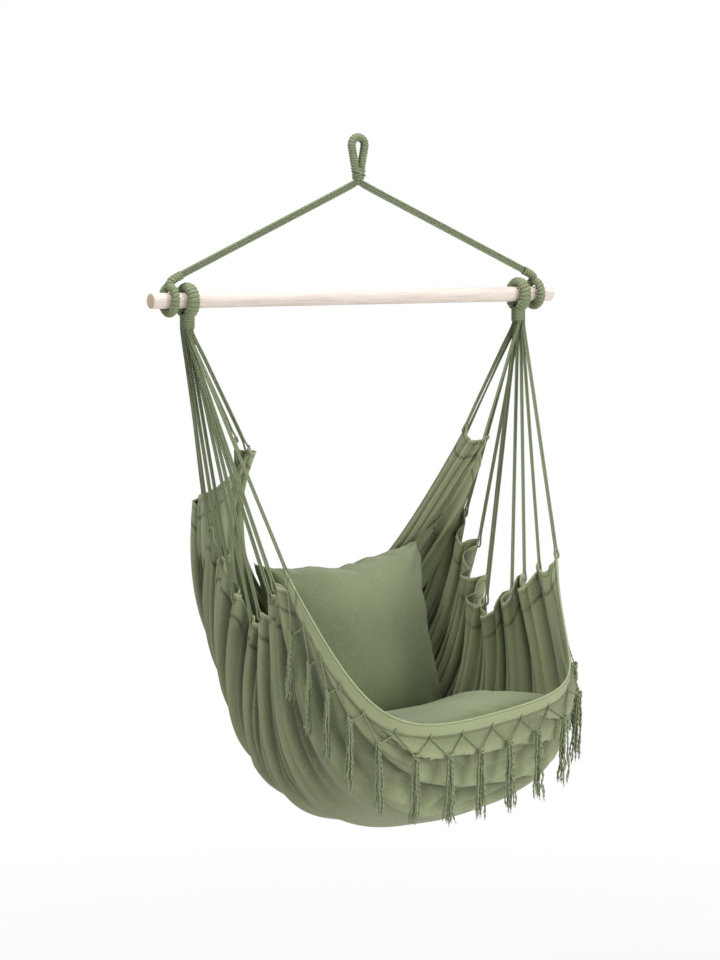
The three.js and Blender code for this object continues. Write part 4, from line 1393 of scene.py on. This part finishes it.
def cushion_sheets(width, deep, thick, sag, droop):
    """Two crowned sheets that share their rim, with thin corners and drawn-in sides, and the
    place of each point across and along the cushion"""
    count = CUSHION_CELLS + 1
    steps = np.sin(math.pi * (np.arange(count) / CUSHION_CELLS - 0.5))
    u, v = np.meshgrid(steps, steps, indexing="ij")
    drawn = cushions().drawn_in
    x = width / 2 * u * (1 - drawn * (1 - v ** 2))
    y = deep / 2 * v * (1 - drawn * (1 - u ** 2))
    crown = np.clip((1 - u ** 2) * (1 - v ** 2), 0, None) ** CROWN_POWER
    level = sag * (u ** 2 - 1) - droop * smoothstep(0.2, 1, -v)
    top, under = (np.stack([x, y, way * thick / 2 * crown + level], axis=-1) for way in (1, -1))
    inner = np.ones((count, count), bool)
    inner.flat[rim_loop(count, count)] = False
    index = np.arange(count * count).reshape(count, count)
    index[inner] = count * count + np.arange(inner.sum())
    places = np.stack([u, v], axis=-1)
    quads = grid_faces(count, count)
    uvs = grid_uvs(u * width / 2, v * deep / 2)
    return (np.concatenate([top.reshape(-1, 3), under[inner]]),
            np.concatenate([quads[:, ::-1], index.reshape(-1)[quads]]),
            np.concatenate([uvs[:, ::-1], uvs]),
            np.concatenate([places.reshape(-1, 2), places[inner]]))


def pucker(piece, places, width, seed):
    """Puckers along the seam, soft dents, and creases that run in from the corners. Returns how
    far each point has moved out."""
    sizes = cushions()
    u, v = places.T
    edge = np.minimum(1 - np.abs(u), 1 - np.abs(v)) * width / 2
    beside = np.abs(u) > np.abs(v)
    along = np.where(beside, v, u)
    side = np.where(beside, np.sign(u), 3 * np.sign(v))
    puckers = value_noise(along * 9 + side * 5, edge * 18, seed)
    height = sizes.pucker * np.exp(-edge / 0.03) * puckers
    height += sizes.dent * smoothstep(0, 0.06, edge) * value_noise(u * 1.7 + 7, v * 1.7, seed + 1)
    for corner_u, corner_v in ((-1, -1), (-1, 1), (1, -1), (1, 1)):
        across, down = 1 - u * corner_u, 1 - v * corner_v
        far = np.hypot(across, down) * width / 2
        fans = np.cos(np.arctan2(down, across) * 9 + corner_u + seed)
        height += sizes.pucker * 1.4 * fans * np.exp(-far / 0.07) * smoothstep(0, 0.03, far)
    normals = np.array([vertex.normal[:] for vertex in piece.data.vertices])
    place_points(piece, piece_points(piece) + normals * height[:, None])
    return height


def swollen(piece):
    """Cloth under pressure for a few frames, with each point's movement capped"""
    sizes = cushions()
    before = piece_points(piece)
    modifier = piece.modifiers.new("swell", "CLOTH")
    settings = modifier.settings
    settings.quality = 6
    settings.mass = 0.3
    settings.tension_stiffness = 22
    settings.compression_stiffness = 22
    settings.shear_stiffness = 10
    settings.bending_stiffness = 0.4
    settings.use_pressure = True
    settings.uniform_pressure_force = sizes.pressure
    settings.shrink_min = -0.045
    settings.effector_weights.gravity = 0
    modifier.collision_settings.use_collision = False
    modifier.point_cache.frame_start = 1
    modifier.point_cache.frame_end = SWELL_FRAMES
    scene = bpy.context.scene
    for number in range(1, SWELL_FRAMES + 1):
        scene.frame_set(number)
    after = piece_points(piece.evaluated_get(bpy.context.evaluated_depsgraph_get()))
    piece.modifiers.remove(modifier)
    scene.frame_set(1)
    if len(after) != len(before) or not np.isfinite(after).all():
        raise ValueError(f"{piece.name} did not settle")
    moved = after - before
    far = np.maximum(np.linalg.norm(moved, axis=1)[:, None], SHORTEST)
    place_points(piece, before + moved * np.minimum(1, sizes.swell_cap / far))


def turned(points, x_degrees, y_degrees):
    """Points turned about Y and then about X"""
    a, b = math.radians(x_degrees), math.radians(y_degrees)
    about_x = np.array([[1, 0, 0], [0, math.cos(a), -math.sin(a)], [0, math.sin(a), math.cos(a)]])
    about_y = np.array([[math.cos(b), 0, math.sin(b)], [0, 1, 0], [-math.sin(b), 0, math.cos(b)]])
    return points @ (about_x @ about_y).T


def add_cushion(name, node, body, size, turn, upright, seed):
    """A padded cushion in the place of its solid, with a seam round its rim. Size holds the
    length, thickness, sag and droop."""
    sizes = cushions()
    deep, thick, sag, droop = size
    width = sizes.width * SEWN_SHARE
    outline = (width, deep * SEWN_SHARE, thick * CROWN_SHARE, sag)
    points, faces, uvs, places = cushion_sheets(*outline, droop)
    undrooped, _, _, _ = cushion_sheets(*outline, 0)
    if upright:
        points, undrooped = (a[:, [0, 2, 1]] * (1, -1, 1) for a in (points, undrooped))
    placed, undrooped = turned(points, *turn), turned(undrooped, *turn)
    low, high = (np.array(corner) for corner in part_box(node))
    placed += (low + high) / 2 - (undrooped.min(axis=0) + undrooped.max(axis=0)) / 2
    piece = add_piece(name, [(placed, faces, uvs)], "canvas_cushion", body, [node])
    swollen(piece)
    height = pucker(piece, places, width, seed)
    # Painted highlight where the cover puckers out and painted shade in its dents and creases
    mark_folds(piece, 0.3 * height / (sizes.pucker + sizes.dent))
    if upright:
        dip = sizes.top_dent * smoothstep(0.4, 1, places[:, 1]) * hump(places[:, 0], 0, 0.22)
        place_points(piece, piece_points(piece) - dip[:, None] * (0, 0, 1))
        short, ways = shortfalls(piece_points(piece), CUSHION_PIECES[0], 0.0015)
        place_points(piece, piece_points(piece) + short[:, None] * ways)
    finer = piece.modifiers.new("finer", "SUBSURF")
    finer.levels = 1
    finer.render_levels = 1
    deselect()
    piece.select_set(True)
    bpy.context.view_layer.objects.active = piece
    bpy.ops.object.modifier_apply(modifier=finer.name)
    piece.data.shade_smooth()
    around = np.roll(rim_loop(CUSHION_CELLS + 1, CUSHION_CELLS + 1)[::-1], 1)
    rim = piece_points(piece)[around]
    seam = twisted_cord([*rim, rim[0]], sizes.welt, strands=2, sides=8, lay=5)
    add_piece(f"{name}_seam", [seam], "canvas_cushion", body)


class HAMMOCK_OT_seat_cushion(bpy.types.Operator):
    """Make the padded seat cushion"""

    bl_idname = "hammock.seat_cushion"
    bl_label = "Seat cushion"

    def execute(self, context):
        sizes = cushions()
        size = (sizes.seat_length, sizes.seat_thickness, sizes.seat_sag, sizes.seat_droop)
        add_cushion(CUSHION_PIECES[0], "seat_cushion", "seat_pad", size,
                    (-sizes.seat_tilt, -sizes.seat_roll), False, 2)
        return {"FINISHED"}


class HAMMOCK_OT_back_cushion(bpy.types.Operator):
    """Make the padded back cushion"""

    bl_idname = "hammock.back_cushion"
    bl_label = "Back cushion"

    def execute(self, context):
        sizes = cushions()
        add_cushion(CUSHION_PIECES[1], "back_cushion", "back_pad",
                    (sizes.back_length, sizes.back_thickness, 0, 0),
                    (-sizes.back_lean, -sizes.back_roll), True, 6)
        return {"FINISHED"}


OPERATORS = (
    HAMMOCK_OT_stage,
    HAMMOCK_OT_spreader_bar,
    HAMMOCK_OT_top_eye,
    HAMMOCK_OT_suspension_ropes,
    HAMMOCK_OT_bar_eyes,
    HAMMOCK_OT_fan_eyes,
    HAMMOCK_OT_fan_cords,
    HAMMOCK_OT_seat_cushion,
    HAMMOCK_OT_back_cushion,
    HAMMOCK_OT_seat_cloth,
    HAMMOCK_OT_fringe,
)


class HAMMOCK_PT_pieces(bpy.types.Panel):
    """Lists the pieces of the hammock chair"""

    bl_idname = "HAMMOCK_PT_pieces"
    bl_label = "Hammock chair"
    bl_space_type = "VIEW_3D"
    bl_region_type = "UI"
    bl_category = "Hammock"

    def draw(self, context):
        for operator in OPERATORS:
            self.layout.operator(operator.bl_idname, text=operator.bl_label)


def register():
    for name, group in PROPERTY_GROUPS:
        bpy.utils.register_class(group)
        setattr(bpy.types.Scene, name, bpy.props.PointerProperty(type=group))
    for item in (*OPERATORS, HAMMOCK_PT_pieces):
        bpy.utils.register_class(item)


def unregister():
    for item in (HAMMOCK_PT_pieces, *reversed(OPERATORS)):
        bpy.utils.unregister_class(item)
    for name, group in reversed(PROPERTY_GROUPS):
        delattr(bpy.types.Scene, name)
        bpy.utils.unregister_class(group)


def main():
    register()
    for operator in OPERATORS:
        group, action = operator.bl_idname.split(".")
        getattr(getattr(bpy.ops, group), action)()


if __name__ == "__main__":
    main()
